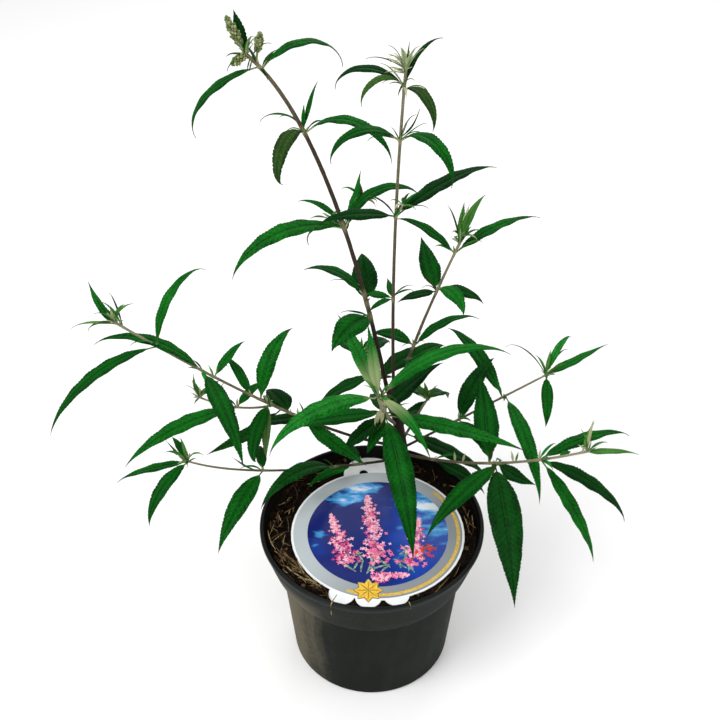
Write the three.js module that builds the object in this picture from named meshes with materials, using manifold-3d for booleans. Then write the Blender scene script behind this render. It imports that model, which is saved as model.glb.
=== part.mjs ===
// A young butterfly bush in its nursery pot. Sizes are in millimetres and turns in degrees.
// The pot's axis is Z, its flat underside is at z = 0, and the label reads from -Y.
// Headings turn from +X towards +Y, and a rise is the angle above the level.

import * as THREE from 'three';
import { mergeVertices } from 'three/addons/utils/BufferGeometryUtils.js';
import Module from 'manifold-3d';

const wasm = await Module();
wasm.setup();

const { degToRad, lerp } = THREE.MathUtils;

// The clearance between pieces that touch.
const GAP = 0.3;

// A thin-walled pot: a straight wall, a flared collar over it and a rolled lip.
const POT = {
  height: 130,
  lipRadius: 85,
  lipHeight: 4,
  collarTopRadius: 84,
  collarFootRadius: 73,
  collarFootHeight: 90,
  shoulder: 1.2,
  wallTopRadius: 70,
  baseRadius: 62.5,
  wall: 1.8,
  floor: 3,
  drains: 6,
  drainRadius: 5,
  drainCircle: 42,
  drillSides: 12,
  sides: 40,
};

const SOIL_TOP = 121;

// The picture label lies on the soil: a disc with a hanging lobe at the back and a tail in front.
const LABEL = {
  centre: [4.5, -4],
  radius: 66,
  thickness: 0.6,
  lobe: { centre: -1, half: 21, reach: 77.5, corner: 19 },
  tail: { radius: 9.6, centres: [[-22, -64], [-3, -67], [17, -65]] },
  hole: { centre: [-6, 60], radius: 3.5 },
  discSides: 48,
  tailSides: 24,
  holeSides: 16,
  cornerSteps: 8,
};

// The short trunk leans to the left and forward and ends in the knuckle where the tall canes fork.
const TRUNK = {
  foot: [28, 67, SOIL_TOP + GAP],
  top: [16, 58, 209],
  flareRadius: 6,
  waistRadius: 4.2,
  knuckleRadius: 5.4,
  flareShare: 0.16,
  knuckleShare: 0.16,
  sides: 10,
  steps: 12,
};

// The faces of a cane, and the points along it that its room is measured by.
const CANE = {
  sides: 5,
  boughSteps: 4,
  leafySteps: 8,
  roomFrom: 0.04,
  roomSteps: 40,
};

// A bud spike: a thin stalk and a spindle that is full and narrow by turns.
const SPIKE = {
  stalkRadius: 1,
  leastRadius: 0.5,
  fullness: 0.6,
  waist: 0.72,
  sides: 6,
  steps: 10,
};

// A leaf's outline: a short stalk, the widest place near a third, and a long fine tip.
const LEAF = {
  stalkShare: 0.07,
  stalkRadius: 0.6,
  rootPower: 0.75,
  tipPower: 1.35,
  droopPower: 1.2,
  fold: 22,
  thickness: 1.5,
  steps: 5,
  shortSteps: 4,
  shortLength: 50,
};

// Small leaves that grow from the axils of the long ones and round the tips of the canes.
const YOUNG = {
  length: [12, 27],
  width: [2.6, 4.2],
  rise: [35, 80],
  droop: [10, 80],
  turn: 35,
  thickness: 1,
  steps: 2,
  parentLength: 40,
  tuftSteepness: 0.6,
  clear: 1.2,
  seed: 1847,
};

// How far up the trunk a cane leaves it.
const onTrunk = (height) => {
  const share = (height - TRUNK.foot[2]) / (TRUNK.top[2] - TRUNK.foot[2]);
  return TRUNK.foot.map((from, axis) => lerp(from, TRUNK.top[axis], share));
};

// Each cane bends once between its foot and its tip, and is bare up to the share where its leaves
// begin. A leaf is [share of the cane, length, width, heading, rise, droop], and a bud spike is
// [share of the cane, stalk, length, radius, heading, rise].
const CANES = [
  {
    name: 'tall_left', foot: [12, 59.5, 207], bend: [-27, 72, 424], tip: [-82, 90, 463],
    thick: [1.6, 1.2], bare: 0.14, tuft: 5,
    leaves: [
      [0.17, 46, 24, 230, 18, 55], [0.22, 20, 9, 355, 10, 35],
      [0.22, 52, 17, 180, 60, 70], [0.2, 45, 21, 95, 40, 30],
      [0.38, 96, 18, 205, 27, 84], [0.38, 72, 14, 12, 74, 122],
      [0.38, 42, 11, 155, 5, 90], [0.39, 40, 8, 40, 48, -50], [0.39, 37, 7, 165, 55, 68],
      [0.65, 82, 12, 330, 48, 112], [0.65, 66, 13, 246, 42, 168], [0.66, 34, 4, 60, 62, 10],
      [0.91, 71, 12, 22, 46, 118], [0.92, 73, 12, 188, -12, 68], [1, 28, 10, 128, 68, -5],
    ],
    spikes: [[1, 6, 20, 3.8, 178, 66], [0.94, 7, 12, 3.6, 70, 62], [1, 1, 10, 4, 215, -25]],
  },
  {
    name: 'tall_middle', foot: [16.5, 55, 207], bend: [11, 46, 342], tip: [18, 33, 478],
    thick: [1.25, 0.9], bare: 0.27, tuft: 8,
    leaves: [
      [0.35, 20, 7, 190, -5, 50], [0.35, 22, 6, 100, 15, 10],
      [0.61, 83, 16, 30, 28, 34], [0.61, 52, 14, 185, 12, 28],
      [0.82, 67, 12, 309, 46, 132], [0.82, 60, 12, 200, 46, 120],
      [0.96, 52, 10, 175, 44, 104], [0.96, 42, 7, 210, 52, 145],
      [0.96, 39, 7, 22, 80, 66], [0.95, 46, 9, 303, 36, 138],
    ],
  },
  {
    name: 'right', foot: [20, 60, 206], bend: [28, 69, 246], tip: [63, 94, 319],
    thick: [1.25, 0.9], bare: 0.25, tuft: 3,
    leaves: [
      [0.3, 34, 16, 30, 20, 35], [0.3, 16, 7, 262, 50, 60],
      [0.4, 60, 12, 20, 48, 74], [0.41, 36, 14, 162, 34, 66],
      [0.75, 50, 17, 103, 26, 5], [0.75, 31, 12, 195, 4, 24],
      [0.77, 35, 15, 310, 30, 112], [0.76, 38, 14, 355, 8, 54],
      [0.95, 74, 14, 25, 30, 42], [0.95, 52, 12, 165, 46, 36],
      [0.99, 46, 8, 55, 64, 62], [0.99, 34, 6, 80, 48, 20],
    ],
  },
  {
    name: 'front', foot: onTrunk(172), bend: [8, 50, 190], tip: [5, 28, 229],
    thick: [1.6, 1.5], bare: 0.38, tuft: 2,
    leaves: [
      [0.58, 116, 23, 284, -16, 51], [0.5, 111, 20, 336, 9, 14],
      [0.55, 78, 18, 188, 4, 18], [0.5, 38, 14, 108, 10, 50],
      [0.45, 46, 17, 200, -26, 20], [0.42, 34, 13, 222, -42, 15],
      [0.99, 112, 17, 10, 56, 88], [0.99, 100, 19, 205, 22, 76],
      [0.99, 74, 14, 118, 32, 8], [0.99, 56, 10, 110, 60, -15], [0.99, 74, 11, 300, 25, 61],
      [0.7, 58, 22, 15, 44, 6],
    ],
  },
  {
    name: 'far_left', foot: onTrunk(147), bend: [-43, 44, 174], tip: [-177, 25, 299],
    thick: [1.3, 0.9], bare: 0.4, tuft: 4,
    leaves: [
      [0.46, 62, 15, 322, -20, -22], [0.45, 45, 16, 160, -10, 30],
      [0.58, 59, 13, 250, 8, 125], [0.51, 34, 20, 127, 28, 50],
      [0.585, 46, 8, 268, -10, 75], [0.54, 66, 14, 202, -37, -38],
      [0.61, 68, 15, 58, 86, 98], [0.64, 39, 10, 136, 62, 45],
      [0.78, 86, 16, 296, 4, 52], [0.78, 88, 14, 183, 56, 72], [0.75, 37, 9, 52, 36, 28],
      [0.9, 79, 10, 52, 86, 110], [0.9, 103, 12, 221, 14, 70],
      [0.98, 42, 9, 170, 38, -60], [0.99, 34, 4, 182, 15, 38],
    ],
    side: {
      from: 0.57, bend: [-100, 37, 206], tip: [-124, 22, 234], thick: [0.95, 0.7], tuft: 3,
      leaves: [
        [0.5, 96, 17, 214, 13, 40], [0.5, 36, 10, 55, 25, 45],
        [0.99, 22, 5, 158, 62, -50], [0.99, 20, 5, 40, 40, 40],
      ],
    },
  },
  {
    name: 'low_left', foot: onTrunk(133), bend: [-90, 27, 145], tip: [-134, 0, 192],
    thick: [1.1, 0.75], bare: 0.13, tuft: 3,
    leaves: [
      [0.18, 44, 11, 198, 4, 50], [0.26, 82, 17, 220, 42, 88], [0.16, 35, 12, 120, 20, 60],
      [0.57, 77, 18, 245, 4, 42], [0.57, 30, 9, 100, 25, 50],
      [0.99, 59, 11, 182, -10, 14], [0.99, 61, 12, 234, 8, 88], [0.99, 27, 7, 125, 26, 25],
    ],
  },
  {
    name: 'low_right', foot: onTrunk(138), bend: [89, 24, 156], tip: [151, -15, 216],
    thick: [1.3, 0.9], bare: 0.14, tuft: 3,
    leaves: [
      [0.18, 50, 16, 335, -5, 35],
      [0.5, 70, 22, 97, 55, 20], [0.56, 86, 17, 224, 4, 34],
      [0.53, 116, 27, 274, 0, 46], [0.54, 34, 18, 340, -38, -40],
      [0.76, 76, 14, 15, 30, 44], [0.77, 91, 14, 319, -38, 26], [0.77, 80, 15, 331, 4, 54],
      [0.98, 38, 8, 346, 20, 18],
    ],
  },
  {
    name: 'high_right', foot: onTrunk(145), bend: [106, 85, 182], tip: [139, 98, 193],
    thick: [1.1, 0.8], bare: 0.24, tuft: 3,
    leaves: [
      [0.3, 62, 18, 50, 68, 62], [0.3, 45, 13, 300, 15, 50],
      [0.59, 83, 15, 122, 40, 50], [0.61, 101, 14, 284, 6, 56],
      [0.99, 46, 11, 269, -12, 80], [0.99, 50, 7, 54, 62, 92], [0.99, 57, 11, 22, 14, -8],
    ],
  },
  {
    name: 'back_left', foot: onTrunk(158), bend: [10, 105, 172], tip: [-8, 135, 182],
    thick: [1.1, 0.9], bare: 0.34, tuft: 3,
    leaves: [
      [0.72, 58, 18, 190, -15, 30], [0.66, 68, 20, 35, 30, 60], [0.4, 55, 20, 50, 25, 50],
      [0.99, 55, 17, 60, 5, 50], [0.99, 55, 17, 120, 5, 55],
    ],
  },
  {
    name: 'back_right', foot: onTrunk(152), bend: [38, 98, 152], tip: [48, 128, 142],
    thick: [1.1, 0.9], bare: 0.12, tuft: 3,
    leaves: [
      [0.15, 80, 20, 352, -21, 12], [0.38, 30, 10, 80, -10, 20],
      [0.99, 55, 16, 60, -12, 50], [0.99, 58, 16, 110, -10, 55], [0.99, 40, 13, 215, -20, 20],
    ],
  },
];

const LOOKS = {
  plastic: { color: 0x26282a, roughness: 0.55, metalness: 0 },
  soil: { color: 0x2a1d14, roughness: 1, metalness: 0 },
  label: { color: 0xe9ecee, roughness: 0.35, metalness: 0 },
  bark: { color: 0x6b5a45, roughness: 0.85, metalness: 0 },
  foliage: { color: 0x1d6b2b, roughness: 0.6, metalness: 0 },
};

// Park and Miller's series of numbers between 0 and 1.
function series(seed) {
  let state = seed;
  return () => {
    state = (state * 16807) % 2147483647;
    return state / 2147483647;
  };
}

// A closed geometry as a solid that can be joined and cut.
function solidOf(geometry) {
  geometry.deleteAttribute('normal');
  geometry.deleteAttribute('uv');
  const merged = mergeVertices(geometry, 1e-4);
  const vertProperties = new Float32Array(merged.attributes.position.array);
  const triVerts = new Uint32Array(merged.index.array);
  return new wasm.Manifold(new wasm.Mesh({ numProp: 3, vertProperties, triVerts }));
}

// The largest piece of a solid, without loose scraps or the walls of sealed hollows.
function wholePiece(solid) {
  const pieces = solid.decompose();
  return pieces.reduce((best, piece) => (piece.volume() > best.volume() ? piece : best));
}

function meshOf(name, solid, look) {
  const { vertProperties, triVerts } = solid.getMesh();
  const geometry = new THREE.BufferGeometry();
  geometry.setAttribute('position', new THREE.BufferAttribute(vertProperties, 3));
  geometry.setIndex(new THREE.BufferAttribute(triVerts, 1));
  geometry.computeVertexNormals();
  const mesh = new THREE.Mesh(geometry, new THREE.MeshStandardMaterial(look));
  mesh.name = name;
  return mesh;
}

// Moves each point of a geometry to where place(point) puts it.
function warp(geometry, place) {
  const positions = geometry.attributes.position;
  const point = new THREE.Vector3();
  for (let i = 0; i < positions.count; i += 1) {
    point.fromBufferAttribute(positions, i);
    const moved = place(point);
    positions.setXYZ(i, moved.x, moved.y, moved.z);
  }
  return geometry;
}

// A round limb along a curve between two shares of it. radiusAt takes the share of the limb.
function limb(curve, from, to, radiusAt, sides, steps) {
  const middle = curve.getTangent((from + to) / 2);
  const across = Math.abs(middle.x) < 0.7 ? new THREE.Vector3(1, 0, 0) : new THREE.Vector3(0, 1, 0);
  return warp(new THREE.CylinderGeometry(1, 1, 1, sides, steps), (point) => {
    const share = point.y + 0.5;
    const along = curve.getTangent(lerp(from, to, share));
    const side = new THREE.Vector3().crossVectors(across, along).normalize();
    const out = new THREE.Vector3().crossVectors(side, along);
    return curve.getPoint(lerp(from, to, share))
      .addScaledVector(side, point.x * radiusAt(share))
      .addScaledVector(out, point.z * radiusAt(share));
  });
}

// The width of a leaf at a share of its length, as a share of its widest place.
function leafShape(share) {
  const blade = Math.max(0, (share - LEAF.stalkShare) / (1 - LEAF.stalkShare));
  const { rootPower: root, tipPower: tip } = LEAF;
  const widest = root ** root * tip ** tip / (root + tip) ** (root + tip);
  return blade ** root * (1 - blade) ** tip / widest;
}

// The midrib leaves its root at its rise and bends down by its droop towards the tip.
function midrib(root, [length, width, heading, rise, droop], steps) {
  const towards = degToRad(heading);
  const directionAt = (share) => {
    const slope = degToRad(rise - droop * share ** LEAF.droopPower);
    return new THREE.Vector3(
      Math.cos(slope) * Math.cos(towards), Math.cos(slope) * Math.sin(towards), Math.sin(slope),
    );
  };
  const side = new THREE.Vector3(Math.sin(towards), -Math.cos(towards), 0);
  const stations = [];
  let point = root.clone();
  for (let i = 0; i <= steps; i += 1) {
    const share = i / steps;
    const along = directionAt(share);
    const half = Math.max(LEAF.stalkRadius * (1 - share), width / 2 * leafShape(share));
    stations.push({ point, side, half, up: new THREE.Vector3().crossVectors(side, along) });
    point = point.clone().addScaledVector(directionAt(share + 0.5 / steps), length / steps);
  }
  return stations;
}

// A leaf is a four-sided cone laid along its midrib: two margins, raised by the fold, and the
// upper and lower face of the rib.
function leaf(stations, thickness) {
  const steps = stations.length - 1;
  const fold = degToRad(LEAF.fold);
  return warp(new THREE.ConeGeometry(1, 1, 4, steps), (point) => {
    const share = point.y + 0.5;
    const { point: centre, side, half, up } = stations[Math.round(share * steps)];
    const left = share < 0.999 ? point.x / (1 - share) : 0;
    const above = share < 0.999 ? point.z / (1 - share) : 0;
    return centre.clone()
      .addScaledVector(side, left * half * Math.cos(fold))
      .addScaledVector(up, Math.abs(left) * half * Math.sin(fold) + above * thickness / 2);
  });
}

// A bud spike: a thin stalk and a knobbly spindle of flower buds on its end.
function spike(root, [stalk, length, radius, heading, rise]) {
  const towards = degToRad(heading);
  const slope = degToRad(rise);
  const reach = new THREE.Vector3(
    Math.cos(slope) * Math.cos(towards), Math.cos(slope) * Math.sin(towards), Math.sin(slope),
  ).multiplyScalar(stalk + length);
  const axis = new THREE.LineCurve3(root, root.clone().add(reach));
  const stalkShare = stalk / (stalk + length);
  return limb(axis, 0, 1, (share) => {
    if (share < stalkShare) return SPIKE.stalkRadius;
    const along = Math.min(1, (share - stalkShare) / (1 - stalkShare));
    const spindle = Math.sin(Math.PI * along) ** SPIKE.fullness;
    const knob = Math.round(share * SPIKE.steps) % 2 === 0 ? 1 : SPIKE.waist;
    return Math.max(SPIKE.leastRadius, radius * spindle * knob);
  }, SPIKE.sides, SPIKE.steps);
}

function pot() {
  const { wall, floor, height, shoulder, sides } = POT;
  const outer = [
    [0, 0], [POT.baseRadius - 1, 0], [POT.baseRadius, 1.5],
    [POT.wallTopRadius, POT.collarFootHeight],
    [POT.collarFootRadius, POT.collarFootHeight + shoulder],
    [POT.collarTopRadius, height - POT.lipHeight],
    [POT.lipRadius, height - POT.lipHeight + 0.8],
    [POT.lipRadius, height - 0.8], [POT.lipRadius - 1, height],
  ];
  const inner = [
    [POT.collarTopRadius - wall, height],
    [POT.collarTopRadius - wall, height - POT.lipHeight],
    [POT.wallTopRadius - wall, POT.collarFootHeight],
    [POT.baseRadius - wall, floor], [0, floor],
  ];
  const profile = [...outer, ...inner].map(([radius, z]) => new THREE.Vector2(radius, z));
  let shell = solidOf(new THREE.LatheGeometry(profile, sides).rotateX(Math.PI / 2));
  for (let i = 0; i < POT.drains; i += 1) {
    const turn = (i + 0.5) * 2 * Math.PI / POT.drains;
    const { drainRadius, drillSides } = POT;
    const drill = new THREE.CylinderGeometry(drainRadius, drainRadius, 4 * floor, drillSides)
      .rotateX(Math.PI / 2)
      .translate(POT.drainCircle * Math.cos(turn), POT.drainCircle * Math.sin(turn), 0);
    shell = shell.subtract(solidOf(drill));
  }
  return shell;
}

// The root ball fills the pot, clear of its wall and floor.
function rootBall() {
  const inside = POT.wall + GAP;
  const collarShare = (SOIL_TOP - POT.collarFootHeight)
    / (POT.height - POT.lipHeight - POT.collarFootHeight);
  const topRadius = lerp(POT.wallTopRadius, POT.collarTopRadius, collarShare) - inside;
  const profile = [
    [0, POT.floor + GAP], [POT.baseRadius - inside, POT.floor + GAP],
    [POT.wallTopRadius - inside, POT.collarFootHeight], [topRadius, SOIL_TOP], [0, SOIL_TOP],
  ].map(([radius, z]) => new THREE.Vector2(radius, z));
  return solidOf(new THREE.LatheGeometry(profile, POT.sides).rotateX(Math.PI / 2));
}

// An upright round plate as thick as the label, or thicker where it is a punch.
function plate(radius, [x, y], sides, height = LABEL.thickness) {
  return solidOf(
    new THREE.CylinderGeometry(radius, radius, height, sides)
      .rotateX(Math.PI / 2)
      .translate(x, y, LABEL.thickness / 2),
  );
}

// The lobe at the back of the label, from the disc's middle out to its reach on +Y.
function lobe({ centre, half, reach, corner }) {
  const outline = new THREE.Shape();
  outline.moveTo(centre + half, 0);
  outline.lineTo(centre + half, reach - corner);
  outline.absarc(centre + half - corner, reach - corner, corner, 0, Math.PI / 2);
  outline.absarc(centre - half + corner, reach - corner, corner, Math.PI / 2, Math.PI);
  outline.lineTo(centre - half, 0);
  return solidOf(new THREE.ExtrudeGeometry(outline, {
    depth: LABEL.thickness, bevelEnabled: false, curveSegments: LABEL.cornerSteps,
  }));
}

function label() {
  const { centre, radius, thickness, hole, tail } = LABEL;
  const disc = plate(radius, centre, LABEL.discSides);
  const tailLobes = tail.centres.map((spot) => plate(tail.radius, spot, LABEL.tailSides));
  return wasm.Manifold.union([disc, lobe(LABEL.lobe), ...tailLobes])
    .subtract(plate(hole.radius, hole.centre, LABEL.holeSides, 4 * thickness))
    .translate([0, 0, SOIL_TOP + GAP]);
}

// The trunk, or with some room added the space that the boughs keep clear of.
function trunk(room = 0) {
  const foot = new THREE.Vector3(...TRUNK.foot);
  const top = new THREE.Vector3(...TRUNK.top);
  top.z += room;
  return solidOf(warp(new THREE.CylinderGeometry(1, 1, 1, TRUNK.sides, TRUNK.steps), (point) => {
    const share = point.y + 0.5;
    const flare = Math.max(0, 1 - share / TRUNK.flareShare) ** 2;
    const knuckle = Math.max(0, 1 - (1 - share) / TRUNK.knuckleShare);
    const radius = TRUNK.waistRadius + room
      + (TRUNK.flareRadius - TRUNK.waistRadius) * flare
      + (TRUNK.knuckleRadius - TRUNK.waistRadius) * Math.sin(knuckle * Math.PI / 2);
    const centre = foot.clone().lerp(top, share);
    return new THREE.Vector3(centre.x - point.x * radius, centre.y + point.z * radius, centre.z);
  }));
}

const canePath = ({ foot, bend, tip }) => new THREE.QuadraticBezierCurve3(
  new THREE.Vector3(...foot), new THREE.Vector3(...bend), new THREE.Vector3(...tip),
);

const between = ([least, most], share) => lerp(least, most, share);

// The young leaves of one cane: one in the axil of each long leaf, and a tuft round the tip.
function youngLeaves(cane, next) {
  const grow = (share, heading, steeper) => [
    share, between(YOUNG.length, next() * (1 - steeper / 2)), between(YOUNG.width, next()),
    heading + (2 * next() - 1) * YOUNG.turn,
    between(YOUNG.rise, lerp(next(), 1, steeper)), between(YOUNG.droop, next()),
  ];
  const axils = cane.leaves.filter(([, length]) => length > YOUNG.parentLength)
    .map(([share, , , heading]) => grow(share, heading, 0));
  const tuft = Array.from(
    { length: cane.tuft },
    (_, i) => grow(1, i * 360 / cane.tuft, YOUNG.tuftSteepness),
  );
  return [...axils, ...tuft];
}

// Points with a radius along everything that grows, each with the name of the piece it is on.
const grown = [];

function record(owner, stations) {
  stations.forEach(({ point, half }) => grown.push({ owner, point, half }));
}

function isClear(owner, stations) {
  return stations.every(({ point, half }) => grown.every((other) => other.owner === owner
    || other.point.distanceTo(point) > other.half + half + YOUNG.clear));
}

function alongLimb(path, from, to, thick) {
  return Array.from({ length: CANE.roomSteps + 1 }, (_, i) => {
    const share = lerp(from, to, i / CANE.roomSteps);
    return { point: path.getPoint(share), half: lerp(...thick, share) };
  });
}

// A side shoot starts on its parent cane, and grows like one.
function withSide(cane) {
  const path = canePath(cane);
  if (!cane.side) return [{ ...cane, path }];
  const side = { ...cane.side, foot: path.getPoint(cane.side.from).toArray(), bare: 0 };
  return [{ ...cane, path }, { ...side, path: canePath(side) }];
}

// A leaf's root is sunk in its cane, halfway out from the axis on the leaf's own side.
function rootOn({ path, thick }, share, heading) {
  const out = lerp(...thick, share) / 2;
  const towards = degToRad(heading);
  return path.getPoint(share)
    .add(new THREE.Vector3(out * Math.cos(towards), out * Math.sin(towards), 0));
}

function longLeaf(part, [share, ...form]) {
  const [length, , heading] = form;
  const steps = length < LEAF.shortLength ? LEAF.shortSteps : LEAF.steps;
  return midrib(rootOn(part, share, heading), form, steps);
}

const shoots = new Map(CANES.map((cane) => [cane.name, withSide(cane)]));

shoots.forEach((parts, name) => {
  const [cane] = parts;
  record(`bough_${name}`, alongLimb(cane.path, CANE.roomFrom, cane.bare, cane.thick));
  parts.forEach((part) => {
    record(name, alongLimb(part.path, part.bare, 1, part.thick));
    part.leaves.forEach((form) => record(name, longLeaf(part, form)));
  });
});

function bough({ path, bare, thick }, clearOfTrunk) {
  const tube = limb(path, 0, bare, (share) => lerp(...thick, share * bare), CANE.sides, CANE.boughSteps);
  return wholePiece(solidOf(tube).subtract(clearOfTrunk));
}

function mass(name, parts, next) {
  const solids = [];
  parts.forEach((part, order) => {
    const { path, bare, thick, leaves } = part;
    const start = order === 0 ? bare + GAP / path.getLength() : 0;
    const radiusAt = (share) => lerp(...thick, lerp(start, 1, share));
    solids.push(solidOf(limb(path, start, 1, radiusAt, CANE.sides, CANE.leafySteps)));
    leaves.forEach((form) => solids.push(solidOf(leaf(longLeaf(part, form), LEAF.thickness))));
    (part.spikes ?? []).forEach(([share, ...form]) => {
      solids.push(solidOf(spike(path.getPoint(share), form)));
    });
    youngLeaves(part, next).forEach(([share, ...form]) => {
      const stations = midrib(rootOn(part, share, form[2]), form, YOUNG.steps);
      if (!isClear(name, stations)) return;
      record(name, stations);
      solids.push(solidOf(leaf(stations, YOUNG.thickness)));
    });
  });
  return wholePiece(wasm.Manifold.union(solids));
}

const plant = new THREE.Group();
plant.add(meshOf('pot', pot(), LOOKS.plastic));
plant.add(meshOf('root_ball', rootBall(), LOOKS.soil));
plant.add(meshOf('plant_label', label(), LOOKS.label));
plant.add(meshOf('trunk', trunk(), LOOKS.bark));
const clearOfTrunk = trunk(GAP);
const next = series(YOUNG.seed);
shoots.forEach((parts, name) => {
  plant.add(meshOf(`bough_${name}`, bough(parts[0], clearOfTrunk), LOOKS.bark));
  plant.add(meshOf(`leaves_${name}`, mass(name, parts, next), LOOKS.foliage));
});

export default plant;
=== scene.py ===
"""A young butterfly bush in its nursery pot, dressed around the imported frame.

The growth tables are in millimetres and degrees, and every mesh is in metres. Headings turn from
+X towards +Y, and a rise is the angle above the level.
"""

import logging
import math
from collections.abc import Iterator
from dataclasses import dataclass, field
from enum import IntEnum
from typing import NamedTuple

import bpy
import numpy as np
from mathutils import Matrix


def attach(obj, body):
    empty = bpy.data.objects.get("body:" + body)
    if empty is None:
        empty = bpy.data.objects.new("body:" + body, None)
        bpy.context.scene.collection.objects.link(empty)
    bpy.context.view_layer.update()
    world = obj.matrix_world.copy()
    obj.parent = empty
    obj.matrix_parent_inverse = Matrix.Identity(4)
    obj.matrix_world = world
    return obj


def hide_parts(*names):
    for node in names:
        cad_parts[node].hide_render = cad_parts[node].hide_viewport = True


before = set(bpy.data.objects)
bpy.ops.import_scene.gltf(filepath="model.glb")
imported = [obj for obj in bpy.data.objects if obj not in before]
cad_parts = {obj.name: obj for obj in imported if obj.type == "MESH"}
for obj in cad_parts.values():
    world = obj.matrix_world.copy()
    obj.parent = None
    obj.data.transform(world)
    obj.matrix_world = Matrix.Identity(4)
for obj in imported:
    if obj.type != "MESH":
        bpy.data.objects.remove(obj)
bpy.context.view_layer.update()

logging.basicConfig(level=logging.INFO, format="%(message)s")
LOG = logging.getLogger("butterfly_bush")

MM = 0.001
SOIL_TOP = 121.0
BODY = "root"


# --- Surfaces -------------------------------------------------------------------------------


@dataclass
class Surface:
    """Points and faces in millimetres, a finish number for each face and marks for each point.

    Attributes:
        points: One row of x, y, z for each point.
        quads: Four point numbers for each four-sided face.
        tris: Three point numbers for each three-sided face.
        quad_finish: The finish number of each four-sided face.
        tri_finish: The finish number of each three-sided face.
        marks: Named values for each point, one number or three to a row.
    """

    points: np.ndarray
    quads: np.ndarray
    tris: np.ndarray
    quad_finish: np.ndarray
    tri_finish: np.ndarray
    marks: dict[str, np.ndarray] = field(default_factory=dict)

    def outward(self) -> "Surface":
        """Turns the faces round if the signed volume, the sum of a·(b×c)/6, is negative.

        Returns:
            The surface itself.
        """
        middle = self.points.mean(0)
        p = self.points - middle
        fans = np.concatenate([self.tris, self.quads[:, [0, 1, 2]], self.quads[:, [0, 2, 3]]])
        volume = np.einsum("ij,ij->i", p[fans[:, 0]], np.cross(p[fans[:, 1]], p[fans[:, 2]])).sum()
        if volume < 0:
            self.quads = self.quads[:, ::-1].copy()
            self.tris = self.tris[:, ::-1].copy()
        return self


def joined(surfaces: list[Surface]) -> Surface:
    """One surface from several, with their point numbers moved on.

    Args:
        surfaces: Surfaces with the same marks.

    Returns:
        The joined surface.
    """
    starts = np.cumsum([0] + [len(s.points) for s in surfaces[:-1]])
    return Surface(
        np.concatenate([s.points for s in surfaces]),
        np.concatenate([s.quads + at for s, at in zip(surfaces, starts)]),
        np.concatenate([s.tris + at for s, at in zip(surfaces, starts)]),
        np.concatenate([s.quad_finish for s in surfaces]),
        np.concatenate([s.tri_finish for s in surfaces]),
        {k: np.concatenate([s.marks[k] for s in surfaces]) for k in surfaces[0].marks},
    )


def capped(rings: np.ndarray, start: np.ndarray, end: np.ndarray, finish: int = 0) -> Surface:
    """A closed surface from rings of points, with a fan to one point at each end.

    Args:
        rings: Points as rings x places round x 3.
        start: The point that closes the first ring.
        end: The point that closes the last ring.
        finish: The finish number of every face.

    Returns:
        The surface, with its faces outward.
    """
    count, places = rings.shape[:2]
    ring, place = np.arange(count - 1)[:, None] * places, np.arange(places)[None, :]
    after = (place + 1) % places
    quads = np.stack([ring + place, ring + after, ring + after + places, ring + place + places], -1)
    first, last = count * places, count * places + 1
    around, on = place[0], after[0]
    top = (count - 1) * places
    tris = np.concatenate([
        np.stack([np.full(places, first), on, around], 1),
        np.stack([np.full(places, last), top + around, top + on], 1),
    ])
    points = np.concatenate([rings.reshape(-1, 3), start[None], end[None]])
    quads = quads.reshape(-1, 4)
    return Surface(
        points, quads, tris, np.full(len(quads), finish), np.full(len(tris), finish),
    ).outward()


def unit(vectors: np.ndarray) -> np.ndarray:
    """Vectors of length one along the given ones."""
    return vectors / np.maximum(np.linalg.norm(vectors, axis=-1, keepdims=True), 1e-9)


def turns(count: int) -> np.ndarray:
    """Even turns round a circle in radians, from 0 on."""
    return np.arange(count) * 2 * np.pi / count


def circled(
    radius: "float | np.ndarray", turn: np.ndarray, height: "float | np.ndarray",
) -> np.ndarray:
    """Points at radius · cos(turn), radius · sin(turn) and the height, all spread to one shape."""
    return np.stack(
        np.broadcast_arrays(radius * np.cos(turn), radius * np.sin(turn), height), -1)


def spokes(side: np.ndarray, out: np.ndarray, turn: np.ndarray) -> np.ndarray:
    """The directions side · cos(turn) + out · sin(turn), for each of the turns."""
    return side[..., None, :] * np.cos(turn)[:, None] + out[..., None, :] * np.sin(turn)[:, None]


def ripple(points: np.ndarray, size: float, seed: int, waves: int = 9) -> np.ndarray:
    """A soft uneven field: the mean of sine waves of random heading and nearly one length.

    Args:
        points: Where it is wanted, one row a point, in millimetres.
        size: The mean wave length.
        seed: Picks the waves.
        waves: How many waves are summed.

    Returns:
        One value a point, mostly between -1 and 1.
    """
    gain = 2.2
    rng = np.random.default_rng(seed)
    heading = unit(rng.normal(size=(waves, points.shape[-1])))
    pace = 2 * np.pi / size * rng.uniform(0.6, 1.5, (waves, 1))
    phase = rng.uniform(0, 2 * np.pi, waves)
    return np.sin(points @ (heading * pace).T + phase).mean(-1) * gain


def repeated(pattern: Surface, points: np.ndarray, finish: np.ndarray) -> Surface:
    """Copies of one closed pattern, each with points of its own.

    Args:
        pattern: The surface whose faces are repeated.
        points: Copies x the pattern's points x 3.
        finish: The finish number of each copy.

    Returns:
        All the copies as one surface.
    """
    step = (np.arange(len(points)) * points.shape[1])[:, None, None]
    return Surface(
        points.reshape(-1, 3),
        (pattern.quads[None] + step).reshape(-1, 4),
        (pattern.tris[None] + step).reshape(-1, 3),
        np.repeat(finish, len(pattern.quads)),
        np.repeat(finish, len(pattern.tris)),
    )


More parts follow.
